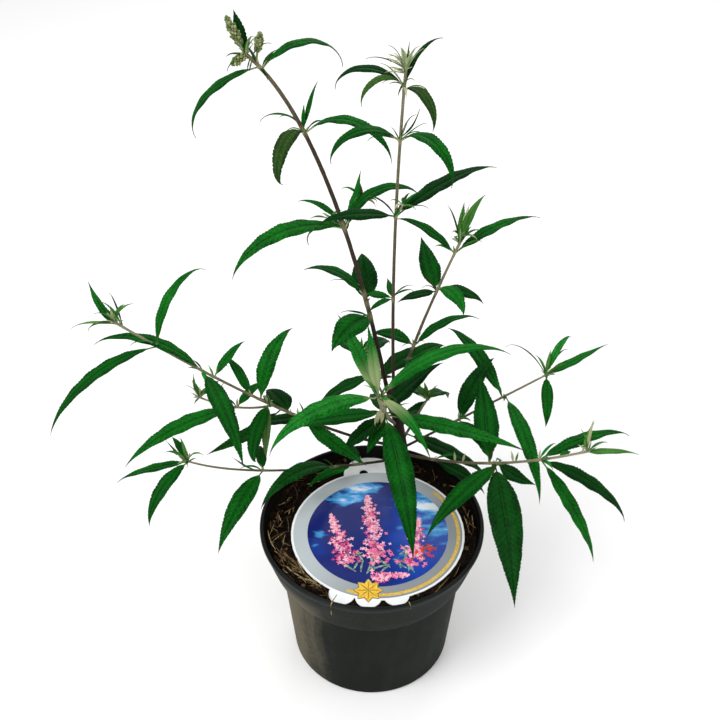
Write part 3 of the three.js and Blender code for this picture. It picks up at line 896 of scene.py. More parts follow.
@dataclass(frozen=True)
class Blade:
    """How a leaf is shaped: a short stalk, widest near a third, a long fine tip, toothed margins.

    Lengths are in millimetres and angles in degrees. A spread is the least and the most by which
    one leaf's value is multiplied.
    """

    stalk_share: float = 0.07
    stalk_radius: float = 0.6
    root_power: float = 0.75
    tip_power: float = 1.35
    droop_power: float = 1.2
    fold: float = 22.0
    recurve: float = 0.34
    station: float = 1.15
    most_stations: int = 96
    least_stations: int = 10
    tooth: float = 0.7
    wave: float = 0.45
    wave_length: float = 17.0
    pucker: float = 0.22
    thin: float = 0.28
    rib: float = 0.8
    rib_width: float = 0.13
    least_rib: float = 0.35
    vein_slant: float = 0.95
    vein_share: float = 0.28
    vein_gap: tuple[float, float] = (1.6, 4.6)
    broad_from: float = 30.0
    across: tuple[float, ...] = (-1, -0.74, -0.42, -0.11, 0, 0.11, 0.42, 0.74, 1)
    across_small: tuple[float, ...] = (-1, -0.5, 0, 0.5, 1)
    margin_from: float = 0.9
    twist: float = 16.0
    full_width: float = 14.0
    tooth_from: float = 0.14
    tooth_spread: tuple[float, float] = (0.3, 1.25)
    least_edge: float = 0.7
    curl_spread: tuple[float, float] = (0.4, 1.3)
    fold_spread: tuple[float, float] = (0.75, 1.2)
    far_wave: float = 1.13

    def outline(self, share: np.ndarray) -> np.ndarray:
        """The half width as a share of the widest: blade^root power · (1 - blade)^tip power."""
        blade = np.clip((share - self.stalk_share) / (1 - self.stalk_share), 0, 1)
        root, tip = self.root_power, self.tip_power
        widest = root ** root * tip ** tip / (root + tip) ** (root + tip)
        return blade ** root * (1 - blade) ** tip / widest

    def midrib(
        self, root: np.ndarray, form: Form, steps: int, curl: float = 0.0,
    ) -> tuple[np.ndarray, ...]:
        """The rib's points: each step goes on by the rise less droop · share^power and the curl.

        Args:
            root: Where the leaf begins.
            form: Its sizes and turns.
            steps: How many steps its length is cut into.
            curl: Degrees by which the last part of the tip bends on down.

        Returns:
            The points, the directions along, the half widths and the shares.
        """
        share = np.arange(steps + 1) / steps

        def slope(at: np.ndarray) -> np.ndarray:
            """The rib's angle above the level at shares of its length."""
            return form.rise - form.droop * at ** self.droop_power - curl * at ** 6

        taken = towards(form.heading, slope(share[:-1] + 0.5 / steps)) * form.length / steps
        points = root + np.concatenate([np.zeros((1, 3)), np.cumsum(taken, 0)])
        half = np.maximum(self.stalk_radius * (1 - share), form.width / 2 * self.outline(share))
        return points, towards(form.heading, slope(share)), half, share

    def _across(
        self, along: np.ndarray, heading: float, share: np.ndarray, rng: np.random.Generator,
    ) -> tuple[np.ndarray, np.ndarray]:
        """The sideways and the upward vectors along a leaf, turned by share · its own twist.

        Args:
            along: The directions of the rib.
            heading: The leaf's heading.
            share: The shares of its length.
            rng: Gives it its twist.

        Returns:
            The sideways and the upward vectors.
        """
        turn = math.radians(heading)
        side = np.broadcast_to([math.sin(turn), -math.cos(turn), 0], along.shape)
        up = np.cross(side, along)
        twist = np.radians(rng.uniform(-self.twist, self.twist) * share)[:, None]
        cos, sin = np.cos(twist), np.sin(twist)
        return side * cos + up * sin, up * cos - side * sin

    def _margin(
        self, half: np.ndarray, share: np.ndarray, size: float, rng: np.random.Generator,
    ) -> np.ndarray:
        """The half widths at the margin, cut in by a tooth at every second station.

        Args:
            half: The half widths of the leaf's outline.
            share: The shares of its length.
            size: How large its teeth are, up to 1.
            rng: Gives each tooth its depth.

        Returns:
            The half widths with teeth.
        """
        steps = len(share) - 1
        jag = np.repeat(rng.uniform(*self.tooth_spread, steps // 2 + 1), 2)[:steps + 1]
        every_second = np.arange(steps + 1) % 2
        tooth = self.tooth * size * jag * every_second * (share > self.tooth_from)
        return np.maximum(half - tooth, half * self.least_edge)

    def surface(
        self, root: np.ndarray, form: Form, upper: Tone, under: Tone, rng: np.random.Generator,
        curl: float = 30.0, foot: float = 0.1,
    ) -> Surface:
        """A closed leaf: an upper face, a lower face just under it, and one edge round both.

        The upper face lies at x of the half width sideways and |x| · sin(fold) - recurve · |x|³
        up, with a wave along the margins and a swelling between each two side veins.

        Args:
            root: Where it begins.
            form: Its sizes and turns.
            upper: The finish of its upper face.
            under: The finish of its lower face.
            rng: Gives it its own fold, twist and waves.
            curl: Degrees by which its tip bends on down.
            foot: The share of its length up to which it is pale.

        Returns:
            The leaf, with the marks blade, tone and foot.
        """
        steps = int(np.clip(form.length / self.station, self.least_stations, self.most_stations))
        centre, along, half, share = self.midrib(
            root, form, steps, curl * rng.uniform(*self.curl_spread))
        x = np.array(self.across if form.length > self.broad_from else self.across_small)
        out = np.abs(x)
        columns = len(x) - 1
        side, up = self._across(along, form.heading, share, rng)
        fold = math.radians(self.fold * rng.uniform(*self.fold_spread))
        length = share * form.length
        size = min(1.0, form.width / self.full_width)
        edge = self._margin(half, share, size, rng)
        reach = x * np.where(out > self.margin_from, edge[:, None], half[:, None])
        phases = rng.uniform(0, 2 * np.pi, 2)
        waves = np.where(
            x < 0,
            np.sin(2 * np.pi * length / self.wave_length + phases[0])[:, None],
            np.sin(2 * np.pi * length / self.wave_length * self.far_wave + phases[1])[:, None],
        )
        gap = float(np.clip(form.width * self.vein_share, *self.vein_gap))
        veins = (length[:, None] - self.vein_slant * np.abs(reach)) / gap
        swell = np.sin(np.pi * veins) ** 2 * 4 * out * (1 - out)
        lift = (
            np.abs(reach) * math.sin(fold) - self.recurve * half[:, None] * out ** 3
            + self.wave * size * waves * out ** 2 * self.outline(share)[:, None]
            + self.pucker * size * swell
        )
        top = centre[:, None] + side[:, None] * (reach * math.cos(fold))[..., None] + (
            up[:, None] * lift[..., None])
        depth = self.thin * (1 - out ** 4) + self.rib * np.exp(-((x / self.rib_width) ** 2)) * (
            (1 - share)[:, None]) * max(self.least_rib, size)
        below = top - up[:, None] * depth[..., None]
        rings = np.concatenate([top, below[:, columns - 1:0:-1]], 1)[:-1]
        made = capped(rings, centre[0], centre[-1])
        ring_size = 2 * columns
        place = np.arange(ring_size)
        upper_faces = (place <= columns) | (place == ring_size - 1)
        which = np.where(upper_faces, int(upper), int(under))
        made.quad_finish = np.tile(which, steps - 1)
        made.tri_finish = np.tile(which, 2)
        both = np.concatenate([np.arange(columns + 1), np.arange(columns - 1, 0, -1)])
        blade = np.stack([
            veins[:-1, both], np.broadcast_to(out[both], (steps, ring_size)),
            np.broadcast_to(share[:-1, None], (steps, ring_size)),
        ], -1).reshape(-1, 3)
        ends = np.array([[0, 0, 0], [form.length / gap, 0, 1]])
        made.marks = {
            "blade": np.concatenate([blade, ends]),
            "tone": np.full(len(made.points), rng.uniform()),
            "foot": np.full(len(made.points), foot),
        }
        return made


@dataclass(frozen=True)
class Sprig:
    """A short side twig in an axil: its place on the cane, its length and turns and its leaves."""

    share: float
    length: float
    heading: float
    rise: float
    leaf: float


@dataclass
class Shoot:
    """One cane or side shoot: a curve that bends once, with its leaves and buds.

    Attributes:
        foot: Where it begins.
        bend: The middle control point of its curve.
        tip: Where it ends.
        thick: Its radius at the foot and at the tip.
        bare: The share at which its leaves begin.
        tuft: How many young leaves stand round its tip.
        leaves: Its long leaves.
        tone: The usual finish of its long leaves.
        spikes: Bud spikes as share, stalk, length, radius, heading and rise.
        sprigs: The small side twigs in its axils.
        small: Single bracts, axillary buds and whiskers, each with its finish.
        tones: Finishes of single leaves, by their number in the table.
        feet: How far up single leaves the pale foot reaches, by their number.
        age: The mark age at its foot and at its tip.
        tuft_tone: The finish of the young leaves round its tip.
    """

    foot: tuple[float, float, float]
    bend: tuple[float, float, float]
    tip: tuple[float, float, float]
    thick: tuple[float, float]
    tuft: int
    leaves: tuple[Form, ...]
    tone: Tone = MID
    bare: float = 0.0
    spikes: tuple[tuple[float, ...], ...] = ()
    sprigs: tuple[Sprig, ...] = ()
    small: tuple[tuple[Form, Tone], ...] = ()
    tones: dict[int, Tone] = field(default_factory=dict)
    feet: dict[int, float] = field(default_factory=dict)
    age: tuple[float, float] = (0.15, 0.85)
    tuft_tone: Tone = FRESH

    def _controls(self, share: "float | np.ndarray") -> tuple[np.ndarray, ...]:
        """The share as a column, and the curve's three control points."""
        points = np.array(self.foot), np.array(self.bend), np.array(self.tip)
        return np.asarray(share, float)[..., None], *points

    def at(self, share: "float | np.ndarray") -> np.ndarray:
        """Points of the curve: (1 - t)² foot + 2t(1 - t) bend + t² tip."""
        t, foot, bend, tip = self._controls(share)
        return (1 - t) ** 2 * foot + 2 * t * (1 - t) * bend + t ** 2 * tip

    def heading_at(self, share: "float | np.ndarray") -> np.ndarray:
        """Unit vectors along the curve, from its derivative."""
        t, foot, bend, tip = self._controls(share)
        return unit((1 - t) * (bend - foot) + t * (tip - bend))

    def radius_at(self, share: "float | np.ndarray") -> np.ndarray:
        """The radius, which falls evenly from the foot to the tip."""
        return self.thick[0] + (self.thick[1] - self.thick[0]) * np.asarray(share, float)

    def root_of(self, form: Form) -> np.ndarray:
        """A leaf's root: halfway out from the axis on the leaf's own side."""
        out = towards(form.heading, 0.0) * float(self.radius_at(form.share))
        return self.at(form.share) + out / 2


def forms(*rows: tuple[float, ...]) -> tuple[Form, ...]:
    """Leaves from rows of share, length, width, heading, rise and droop."""
    return tuple(Form(*row) for row in rows)


class Habit(NamedTuple):
    """The least and the most of a small leaf's length, width, turn, rise and droop."""

    length: tuple[float, float]
    width: tuple[float, float]
    turn: tuple[float, float]
    rise: tuple[float, float]
    droop: tuple[float, float]

    def grow(self, rng: np.random.Generator, share: float, heading: float) -> Form:
        """A leaf at a share of its cane and near a heading, which draws five numbers."""
        length, width, turn, rise, droop = (rng.uniform(*pair) for pair in self)
        return Form(share, length, width, heading + turn, rise, droop)


AXIL_SCALE = Habit((3, 8), (1.4, 2.2), (-60, 60), (55, 85), (-20, 40))
WHISKER = Habit((10, 18), (1.2, 1.8), (-60, 60), (30, 65), (60, 130))
TIP_SCALE = Habit((4, 10), (1.4, 2.4), (-20, 20), (15, 88), (-20, 40))


def small_leaves(*rows: tuple) -> tuple[tuple[Form, Tone], ...]:
    """Bracts, buds and whiskers from rows like those of forms, each with its finish at the end."""
    return tuple((Form(*row[:-1]), row[-1]) for row in rows)


TRUNK_FOOT = np.array([28, 67, SOIL_TOP + 0.3])
TRUNK_TOP = np.array([16.0, 58.0, 209.0])


def on_trunk(height: float) -> tuple[float, float, float]:
    """The trunk's axis at a height."""
    share = (height - TRUNK_FOOT[2]) / (TRUNK_TOP[2] - TRUNK_FOOT[2])
    return tuple(TRUNK_FOOT + (TRUNK_TOP - TRUNK_FOOT) * share)


# Leaves of the deep finish, for those that lie in shade, carry painted shade; leaves of the bright
# finish, for those in the light, carry painted light.
CANES: dict[str, Shoot] = {
    "tall_left": Shoot(
        (12, 59.5, 207), (-27, 72, 424), (-82, 90, 463), (1.6, 1.2), 5, bare=0.14,
        age=(0.05, 0.6),
        leaves=forms(
            (0.17, 46, 24, 230, 18, 55), (0.22, 20, 9, 355, 10, 35),
            (0.22, 52, 17, 180, 60, 70), (0.2, 45, 21, 95, 40, 30),
            (0.38, 96, 18, 205, 27, 84), (0.38, 72, 14, 12, 74, 122),
            (0.38, 42, 11, 155, 5, 90), (0.39, 40, 8, 40, 48, -50), (0.39, 37, 7, 165, 55, 68),
            (0.65, 82, 12, 330, 48, 112), (0.65, 66, 13, 246, 42, 168), (0.66, 34, 4, 60, 62, 10),
            (0.91, 71, 12, 22, 46, 118), (0.92, 73, 12, 188, -12, 68), (1, 28, 10, 128, 68, -5),
        ),
        spikes=((1, 6, 20, 3.8, 178, 66), (0.94, 7, 12, 3.6, 70, 62), (1, 1, 10, 4, 215, -25)),
        sprigs=(Sprig(0.385, 22, 38, 40, 19), Sprig(0.385, 12, 186, 34, 14)),
        small=small_leaves(
            (0.98, 16, 2.2, 200, 40, 60, OLIVE), (0.97, 20, 2.6, 205, 20, 90, MID),
            (0.97, 18, 2.4, 20, 66, 75, MID), (0.93, 12, 2.2, 320, -30, 30, SHADED),
            (0.97, 9, 1.2, 240, -50, 20, OLIVE), (0.96, 8, 1.2, 250, -40, 20, OLIVE),
            (0.99, 12, 4, 150, 72, 10, MID), (0.98, 14, 3.4, 190, 30, 40, MID),
            (0.7, 27, 3.4, 178, 26, 70, MID), (0.68, 16, 2.4, 165, 50, 80, OLIVE),
            (0.66, 17, 3.2, 80, 76, 5, MID), (0.37, 13, 3.2, 60, 66, -10, MID),
            (0.24, 24, 2, 165, 20, 40, OLIVE), (0.17, 24, 3, 160, 10, 30, MID),
        ),
        tones={3: SHADED, 7: LIT, 10: OLIVE, 14: SHADED},
    ),
    "tall_middle": Shoot(
        (16.5, 55, 207), (11, 46, 342), (18, 33, 478), (1.25, 0.9), 8, bare=0.27,
        age=(0.1, 0.85), tuft_tone=FELT,
        leaves=forms(
            (0.35, 20, 7, 190, -5, 50), (0.35, 22, 6, 100, 15, 10),
            (0.61, 83, 16, 30, 28, 34), (0.61, 52, 14, 185, 12, 28),
            (0.82, 67, 12, 309, 46, 132), (0.82, 60, 12, 200, 46, 120),
            (0.96, 52, 10, 175, 44, 104), (0.96, 42, 7, 210, 52, 145),
            (0.96, 39, 7, 22, 80, 66), (0.95, 46, 9, 303, 36, 138),
        ),
        sprigs=(Sprig(0.61, 12, 320, 62, 13),),
        small=small_leaves(
            (1, 26, 1.4, 180, 36, 40, OLIVE), (1, 19, 1.3, 185, 74, 30, OLIVE),
            (1, 17, 1.3, 60, 76, -10, OLIVE), (1, 15, 2.6, 190, 62, 30, FELT),
            (1, 14, 2.8, 170, 42, 30, FELT), (1, 13, 2.6, 205, 50, 40, FELT),
            (1, 12, 2.8, 150, 60, 20, FELT), (1, 12, 2.4, 220, 22, 30, FELT),
            (0.99, 13, 2.6, 180, 12, 20, FELT), (0.99, 11, 2.4, 160, 24, 20, FELT),
            (0.99, 11, 2.2, 235, 48, 30, FRESH), (0.99, 10, 2.4, 120, 70, 10, FRESH),
            (0.97, 10, 1.6, 230, -40, 20, OLIVE), (0.97, 12, 1.6, 300, 46, 40, FRESH),
            (0.83, 22, 3.2, 12, 34, -60, MID), (0.82, 22, 1.4, 35, 30, 20, FRESH),
            (0.82, 10, 1.6, 150, 60, 10, FRESH), (0.36, 17, 1.8, 20, 55, 70, OLIVE),
            (0.36, 16, 2.6, 10, 40, 60, MID), (0.62, 24, 2.4, 12, 30, 60, OLIVE),
        ),
        tones={2: SHADED, 3: SHADED, 6: SHADED, 7: OLIVE, 8: SHADED,
               9: OLIVE},
    ),
    "right": Shoot(
        (20, 60, 206), (28, 69, 246), (63, 94, 319), (1.25, 0.9), 3, bare=0.25,
        leaves=forms(
            (0.3, 34, 16, 30, 20, 35), (0.3, 16, 7, 262, 50, 60),
            (0.4, 60, 12, 20, 48, 74), (0.41, 36, 14, 162, 34, 66),
            (0.75, 50, 17, 103, 26, 5), (0.75, 31, 12, 195, 4, 24),
            (0.77, 35, 15, 310, 30, 112), (0.76, 38, 14, 355, 8, 54),
            (0.95, 74, 14, 25, 30, 42), (0.95, 52, 12, 165, 46, 36),
            (0.99, 46, 8, 55, 64, 62), (0.99, 34, 6, 80, 48, 20),
        ),
        sprigs=(Sprig(0.99, 6, 62, 60, 15),),
        small=small_leaves(
            (1, 34, 1.6, 110, 62, 60, OLIVE), (1, 30, 4.5, 70, 52, 10, FELT),
            (1, 24, 3, 60, 58, 0, FRESH), (0.42, 12, 2.4, 60, 50, 40, MID),
        ),
        tones={4: MID, 5: SHADED, 6: LIT, 7: SHADED, 10: FRESH,
               11: FRESH},
    ),
    "front": Shoot(
        on_trunk(172), (8, 50, 190), (5, 28, 229), (1.6, 1.5), 2, bare=0.38, tone=LIT,
        age=(0.5, 1.1),
        leaves=forms(
            (0.58, 116, 23, 284, -16, 51), (0.5, 111, 20, 336, 9, 14),
            (0.55, 78, 18, 188, 4, 18), (0.5, 38, 14, 108, 10, 50),
            (0.45, 46, 17, 200, -26, 20), (0.42, 34, 13, 222, -42, 15),
            (0.99, 112, 17, 10, 56, 88), (0.99, 100, 19, 205, 22, 76),
            (0.99, 74, 14, 118, 32, 8), (0.99, 56, 10, 110, 60, -15), (0.99, 74, 11, 300, 25, 61),
            (0.7, 58, 22, 15, 44, 6),
        ),
        small=small_leaves(
            (0.6, 15, 4.6, 214, -16, 90, FELT), (0.5, 17, 4.8, 208, -44, 50, FRESH),
            (0.45, 21, 5, 210, -54, 30, OLIVE), (0.7, 12, 4, 236, -6, 90, FELT),
            (0.55, 13, 4.2, 196, -30, 80, FELT), (0.98, 8, 2.4, 300, 5, 50, FELT),
            (0.62, 10, 3.4, 255, -20, 60, FELT), (0.52, 14, 4, 232, -60, 30, OLIVE),
        ),
        tones={0: MID, 1: MID, 2: MID, 3: SHADED, 4: SHADED, 5: MID,
               11: SHADED},
        feet={8: 0.3, 9: 0.5, 10: 0.4},
    ),
    "far_left": Shoot(
        on_trunk(147), (-43, 44, 174), (-177, 25, 299), (1.3, 0.9), 4, bare=0.4,
        leaves=forms(
            (0.46, 62, 15, 322, -20, -22), (0.45, 45, 16, 160, -10, 30),
            (0.58, 59, 13, 250, 8, 125), (0.51, 34, 20, 127, 28, 50),
            (0.585, 46, 8, 268, -10, 75), (0.54, 66, 14, 202, -37, -38),
            (0.61, 68, 15, 58, 86, 98), (0.64, 39, 10, 136, 62, 45),
            (0.78, 86, 16, 296, 4, 52), (0.78, 88, 14, 183, 56, 72), (0.75, 37, 9, 52, 36, 28),
            (0.9, 79, 10, 52, 86, 110), (0.9, 103, 12, 221, 14, 70),
            (0.98, 42, 9, 170, 38, -60), (0.99, 34, 4, 182, 15, 38),
        ),
        small=small_leaves(
            (0.98, 30, 1.6, 120, 76, 80, OLIVE), (1, 14, 3, 150, 50, 20, FELT),
            (1, 12, 2.6, 110, 56, 30, FELT), (1, 22, 3.4, 185, 10, 60, OLIVE),
            (0.49, 8, 2.2, 270, 60, 20, FELT), (0.48, 7, 2, 100, 70, 20, FELT),
            (0.75, 10, 2, 130, 60, 20, FRESH), (0.72, 22, 1.6, 235, -20, 60, FELT),
        ),
        tones={1: SHADED, 3: SHADED, 4: UNDER_SHADED, 5: SHADED, 13: LIT,
               14: FRESH},
    ),
    "low_left": Shoot(
        on_trunk(133), (-90, 27, 145), (-134, 0, 192), (1.1, 0.75), 3, bare=0.13,
        leaves=forms(
            (0.18, 44, 11, 198, 4, 50), (0.26, 82, 17, 220, 42, 88), (0.16, 35, 12, 120, 20, 60),
            (0.57, 77, 18, 245, 4, 42), (0.57, 30, 9, 100, 25, 50),
            (0.99, 59, 11, 182, -10, 14), (0.99, 61, 12, 234, 8, 88), (0.99, 27, 7, 125, 26, 25),
        ),
        small=small_leaves(
            (0.99, 24, 2.4, 150, 14, -50, OLIVE), (0.6, 24, 2, 150, -10, -50, OLIVE),
        ),
        tones={1: SHADED, 2: SHADED, 4: SHADED},
    ),
    "low_right": Shoot(
        on_trunk(138), (89, 24, 156), (151, -15, 216), (1.3, 0.9), 3, bare=0.14,
        age=(0.4, 0.9),
        leaves=forms(
            (0.18, 50, 16, 335, -5, 35),
            (0.5, 70, 22, 97, 55, 20), (0.56, 86, 17, 224, 4, 34),
            (0.53, 116, 27, 274, 0, 46), (0.54, 34, 18, 340, -38, -40),
            (0.76, 76, 14, 15, 30, 44), (0.77, 91, 14, 319, -38, 26), (0.77, 80, 15, 331, 4, 54),
            (0.98, 38, 8, 346, 20, 18),
        ),
        small=small_leaves(
            (0.31, 8, 2.4, 100, 66, 20, FELT), (0.35, 8, 2.2, 60, 70, 20, FELT),
            (0.63, 9, 2.2, 110, 66, 10, FELT), (0.64, 8, 2, 60, 66, 10, FRESH),
            (0.86, 14, 5, 40, 0, 20, MID), (0.97, 26, 3.2, 60, 50, 20, FRESH),
            (0.99, 24, 2.6, 70, 60, 10, FELT),
        ),
        tones={0: SHADED, 3: SHADED, 4: SHADED, 7: SHADED, 8: FRESH},
    ),
    "high_right": Shoot(
        on_trunk(145), (106, 85, 182), (139, 98, 193), (1.1, 0.8), 3, bare=0.24,
        age=(0.3, 0.85),
        leaves=forms(
            (0.3, 62, 18, 50, 68, 62), (0.3, 45, 13, 300, 15, 50),
            (0.59, 83, 15, 122, 40, 50), (0.61, 101, 14, 284, 6, 56),
            (0.99, 46, 11, 269, -12, 80), (0.99, 50, 7, 54, 62, 92), (0.99, 57, 11, 22, 14, -8),
        ),
        small=small_leaves(
            (0.99, 48, 1.6, 140, 56, 90, OLIVE), (0.98, 36, 2, 45, 62, 90, OLIVE),
        ),
        tones={0: SHADED, 1: SHADED, 5: LIT, 6: LIT},
    ),
    "back_left": Shoot(
        on_trunk(158), (10, 105, 172), (-8, 135, 182), (1.1, 0.9), 3, bare=0.34, tone=SHADED,
        leaves=forms(
            (0.72, 58, 18, 190, -15, 30), (0.66, 68, 20, 35, 30, 60), (0.4, 55, 20, 50, 25, 50),
            (0.99, 55, 17, 60, 5, 50), (0.99, 55, 17, 120, 5, 55),
        ),
    ),
    "back_right": Shoot(
        on_trunk(152), (38, 98, 152), (48, 128, 142), (1.1, 0.9), 3, bare=0.12, tone=SHADED,
        leaves=forms(
            (0.15, 80, 20, 352, -21, 12), (0.38, 30, 10, 80, -10, 20),
            (0.99, 55, 16, 60, -12, 50), (0.99, 58, 16, 110, -10, 55), (0.99, 40, 13, 215, -20, 20),
        ),
    ),
}

SIDE_SHOOT = Shoot(
    tuple(CANES["far_left"].at(0.57)), (-100, 37, 206), (-124, 22, 234), (0.95, 0.7), 3,
    leaves=forms(
        (0.5, 96, 17, 214, 13, 40), (0.5, 36, 10, 55, 25, 45),
        (0.99, 22, 5, 158, 62, -50), (0.99, 20, 5, 40, 40, 40),
    ),
    tones={0: MID, 2: FRESH, 3: FRESH},
)


class Room:
    """Remembers what has grown as points with a radius, to tell whether a young leaf has room."""

    def __init__(self, clear: float) -> None:
        """Starts empty, with the clearance that a young leaf keeps."""
        self.clear = clear
        self.grown: list[tuple[str, np.ndarray, np.ndarray]] = []

    def record(self, owner: str, points: np.ndarray, half: np.ndarray) -> None:
        """Adds a piece of one owner."""
        self.grown.append((owner, points, half))

    def free(self, owner: str, points: np.ndarray, half: np.ndarray) -> bool:
        """Whether points with their radii keep clear of every other owner's."""
        for other, theirs, width in self.grown:
            if other == owner:
                continue
            gap = np.linalg.norm(theirs[None] - points[:, None], axis=-1)
            if (gap <= width[None] + half[:, None] + self.clear).any():
                return False
        return True


def series(seed: int) -> Iterator[float]:
    """Park and Miller's series of numbers between 0 and 1."""
    factor, modulus = 16807, 2147483647
    state = seed
    while True:
        state = state * factor % modulus
        yield state / modulus


def wrapped(along: np.ndarray, turn: np.ndarray, radius: float) -> np.ndarray:
    """The mark skin as rings x places x 3: along, cos(turn) · radius and sin(turn) · radius."""
    return np.stack(np.broadcast_arrays(
        along[:, None], np.cos(turn) * radius, np.sin(turn) * radius), -1)


def barked(
    points: np.ndarray, ends: tuple[np.ndarray, np.ndarray], skin: np.ndarray,
    age: np.ndarray, swell: np.ndarray,
) -> Surface:
    """A closed limb with the marks that its bark reads.

    Args:
        points: Its surface as rings x places x 3.
        ends: The points that close it.
        skin: The mark skin of each point, shaped like them.
        age: The mark age of each ring.
        swell: The mark swell of each ring, which is 0 at the ends.

    Returns:
        The limb.
    """
    limb, places = capped(points, *ends), points.shape[1]
    limb.marks = {
        "skin": np.concatenate([skin.reshape(-1, 3), skin[[0, -1], 0] * [1, 0, 0]]),
        "age": np.concatenate([np.repeat(age, places), age[[0, -1]]]),
        "swell": np.concatenate([np.repeat(swell, places), [0, 0]]),
    }
    return limb


def lerp(low: float, high: float, share: float) -> float:
    """The number that lies share of the way from low to high."""
    return low + (high - low) * share


@dataclass
class Bush:
    """The plant: its trunk, canes, leaves, young growth and bud spikes.

    Attributes:
        blade: How its leaves are shaped.
        young_length: Least and most length of a young leaf, and so on down to its droop.
        young_turn: How far a young leaf may turn from its place.
        young_steps: Steps of a young leaf when its room is measured.
        seed: Starts the series for the young leaves.
        flare_radius: The trunk's radius at the soil.
        waist_radius: The trunk's radius along its middle.
        knuckle_radius: The trunk's radius at the fork.
        flare_share: The share of the trunk over which it widens at either end.
        fine_from: The shortest long leaf that bears scales in its axil.
        fresh_share: How many of those scales are green and not pale.
        whisker_share: How many axils bear a whisker.
        tip_scales: How many scales stand round a tip.
        curls: Degrees by which a usual, a very long, a young and a small leaf's tip bends on.
        very_long: The length from which a leaf is very long.
        young_from: The length over which a long leaf has a young one in its axil.
        tuft_steeper: How much steeper and shorter the young leaves round a tip are.
        olive_share: How many young axil leaves are olive and not bright with painted light.
        stem_sides: Corners of a stem's ring.
        stem_step: Millimetres from one ring of a stem to the next.
        node_reach: How far from a leaf's foot its stem is swollen.
        node_swell: The share by which it is swollen there.
        squareness: The share by which a stem is four-sided.
        stem_bark: The share by which a stem is ridged.
        trunk_bark: The share by which the trunk is ridged.
        side_age: The mark age of a side shoot at its foot and tip, and twig_age a twig's.
        golden_angle: Degrees from one bud of a spike to the next.
    """

    blade: Blade = field(default_factory=Blade)
    young_length: tuple[float, float] = (12, 27)
    young_width: tuple[float, float] = (2.6, 4.2)
    young_rise: tuple[float, float] = (35, 80)
    young_droop: tuple[float, float] = (10, 80)
    young_turn: float = 35
    young_steps: int = 2
    seed: int = 1847
    flare_radius: float = 6.0
    waist_radius: float = 4.2
    knuckle_radius: float = 5.4
    flare_share: float = 0.16
    fine_from: float = 26.0
    fresh_share: float = 0.6
    whisker_share: float = 0.2
    tip_scales: int = 8
    curls: tuple[float, float, float, float] = (30.0, 6.0, 50.0, 40.0)
    very_long: float = 110.0
    young_from: float = 40.0
    tuft_steeper: float = 0.6
    olive_share: float = 0.4
    stem_sides: int = 14
    stem_step: float = 1.6
    node_reach: float = 2.6
    node_swell: float = 0.2
    squareness: float = 0.045
    stem_bark: float = 0.05
    trunk_bark: float = 0.06
    side_age: tuple[float, float] = (0.6, 0.9)
    twig_age: tuple[float, float] = (0.7, 1.0)
    golden_angle: float = 137.5

    def __post_init__(self) -> None:
        """Sets out the shoots of each mass and records the room that they fill."""
        self.shoots = {name: [cane] for name, cane in CANES.items()}
        self.shoots["far_left"].append(SIDE_SHOOT)
        self.rng = np.random.default_rng(self.seed)
        self.room = Room(clear=1.2)
        for name, parts in self.shoots.items():
            self._record_limb(f"bough_{name}", parts[0], 0.04, parts[0].bare)
            for part in parts:
                self._record_limb(name, part, part.bare, 1.0)
                for form in part.leaves:
                    steps = 4 if form.length < 50 else 5
                    points, _, half, _ = self.blade.midrib(part.root_of(form), form, steps)
                    self.room.record(name, points, half)

    def _record_limb(self, owner: str, shoot: Shoot, start: float, stop: float) -> None:
        """Records the room of a limb between two shares."""
        share = start + (stop - start) * np.arange(41) / 40
        self.room.record(owner, shoot.at(share), shoot.radius_at(share))

    def _young_forms(self, shoot: Shoot, numbers: Iterator[float]) -> list[Form]:
        """The young leaves that the growth rule asks for on one shoot.

        Args:
            shoot: The cane or side shoot.
            numbers: The series that they draw on, in a fixed order.

        Returns:
            One leaf in the axil of each long leaf, then a tuft round the tip.
        """
        def grow(share: float, heading: float, steeper: float) -> Form:
            """One young leaf, which draws five numbers."""
            return Form(
                share,
                lerp(*self.young_length, next(numbers) * (1 - steeper / 2)),
                lerp(*self.young_width, next(numbers)),
                heading + (2 * next(numbers) - 1) * self.young_turn,
                lerp(*self.young_rise, lerp(next(numbers), 1, steeper)),
                lerp(*self.young_droop, next(numbers)),
            )

        axils = [grow(f.share, f.heading, 0) for f in shoot.leaves if f.length > self.young_from]
        headings = [i * 360 / shoot.tuft for i in range(shoot.tuft)]
        return axils + [grow(1, heading, self.tuft_steeper) for heading in headings]

    def _fine_forms(self, shoot: Shoot) -> list[tuple[Form, Tone]]:
        """The finest growth: bud scales and whiskers in the axils and pale scales at the tip.

        Args:
            shoot: The cane or side shoot.

        Returns:
            Small leaves, each with its finish.
        """
        fine = []
        for form in shoot.leaves:
            if form.length < self.fine_from:
                continue
            scale = AXIL_SCALE.grow(self.rng, form.share, form.heading)
            fine.append((scale, FRESH if self.rng.uniform() < self.fresh_share else FELT))
            if self.rng.uniform() < self.whisker_share:
                fine.append((WHISKER.grow(self.rng, form.share, form.heading), OLIVE))
        for i in range(self.tip_scales):
            scale = TIP_SCALE.grow(self.rng, 1.0, i * 360 / self.tip_scales)
            fine.append((scale, FELT if i % 3 else FRESH))
        return fine

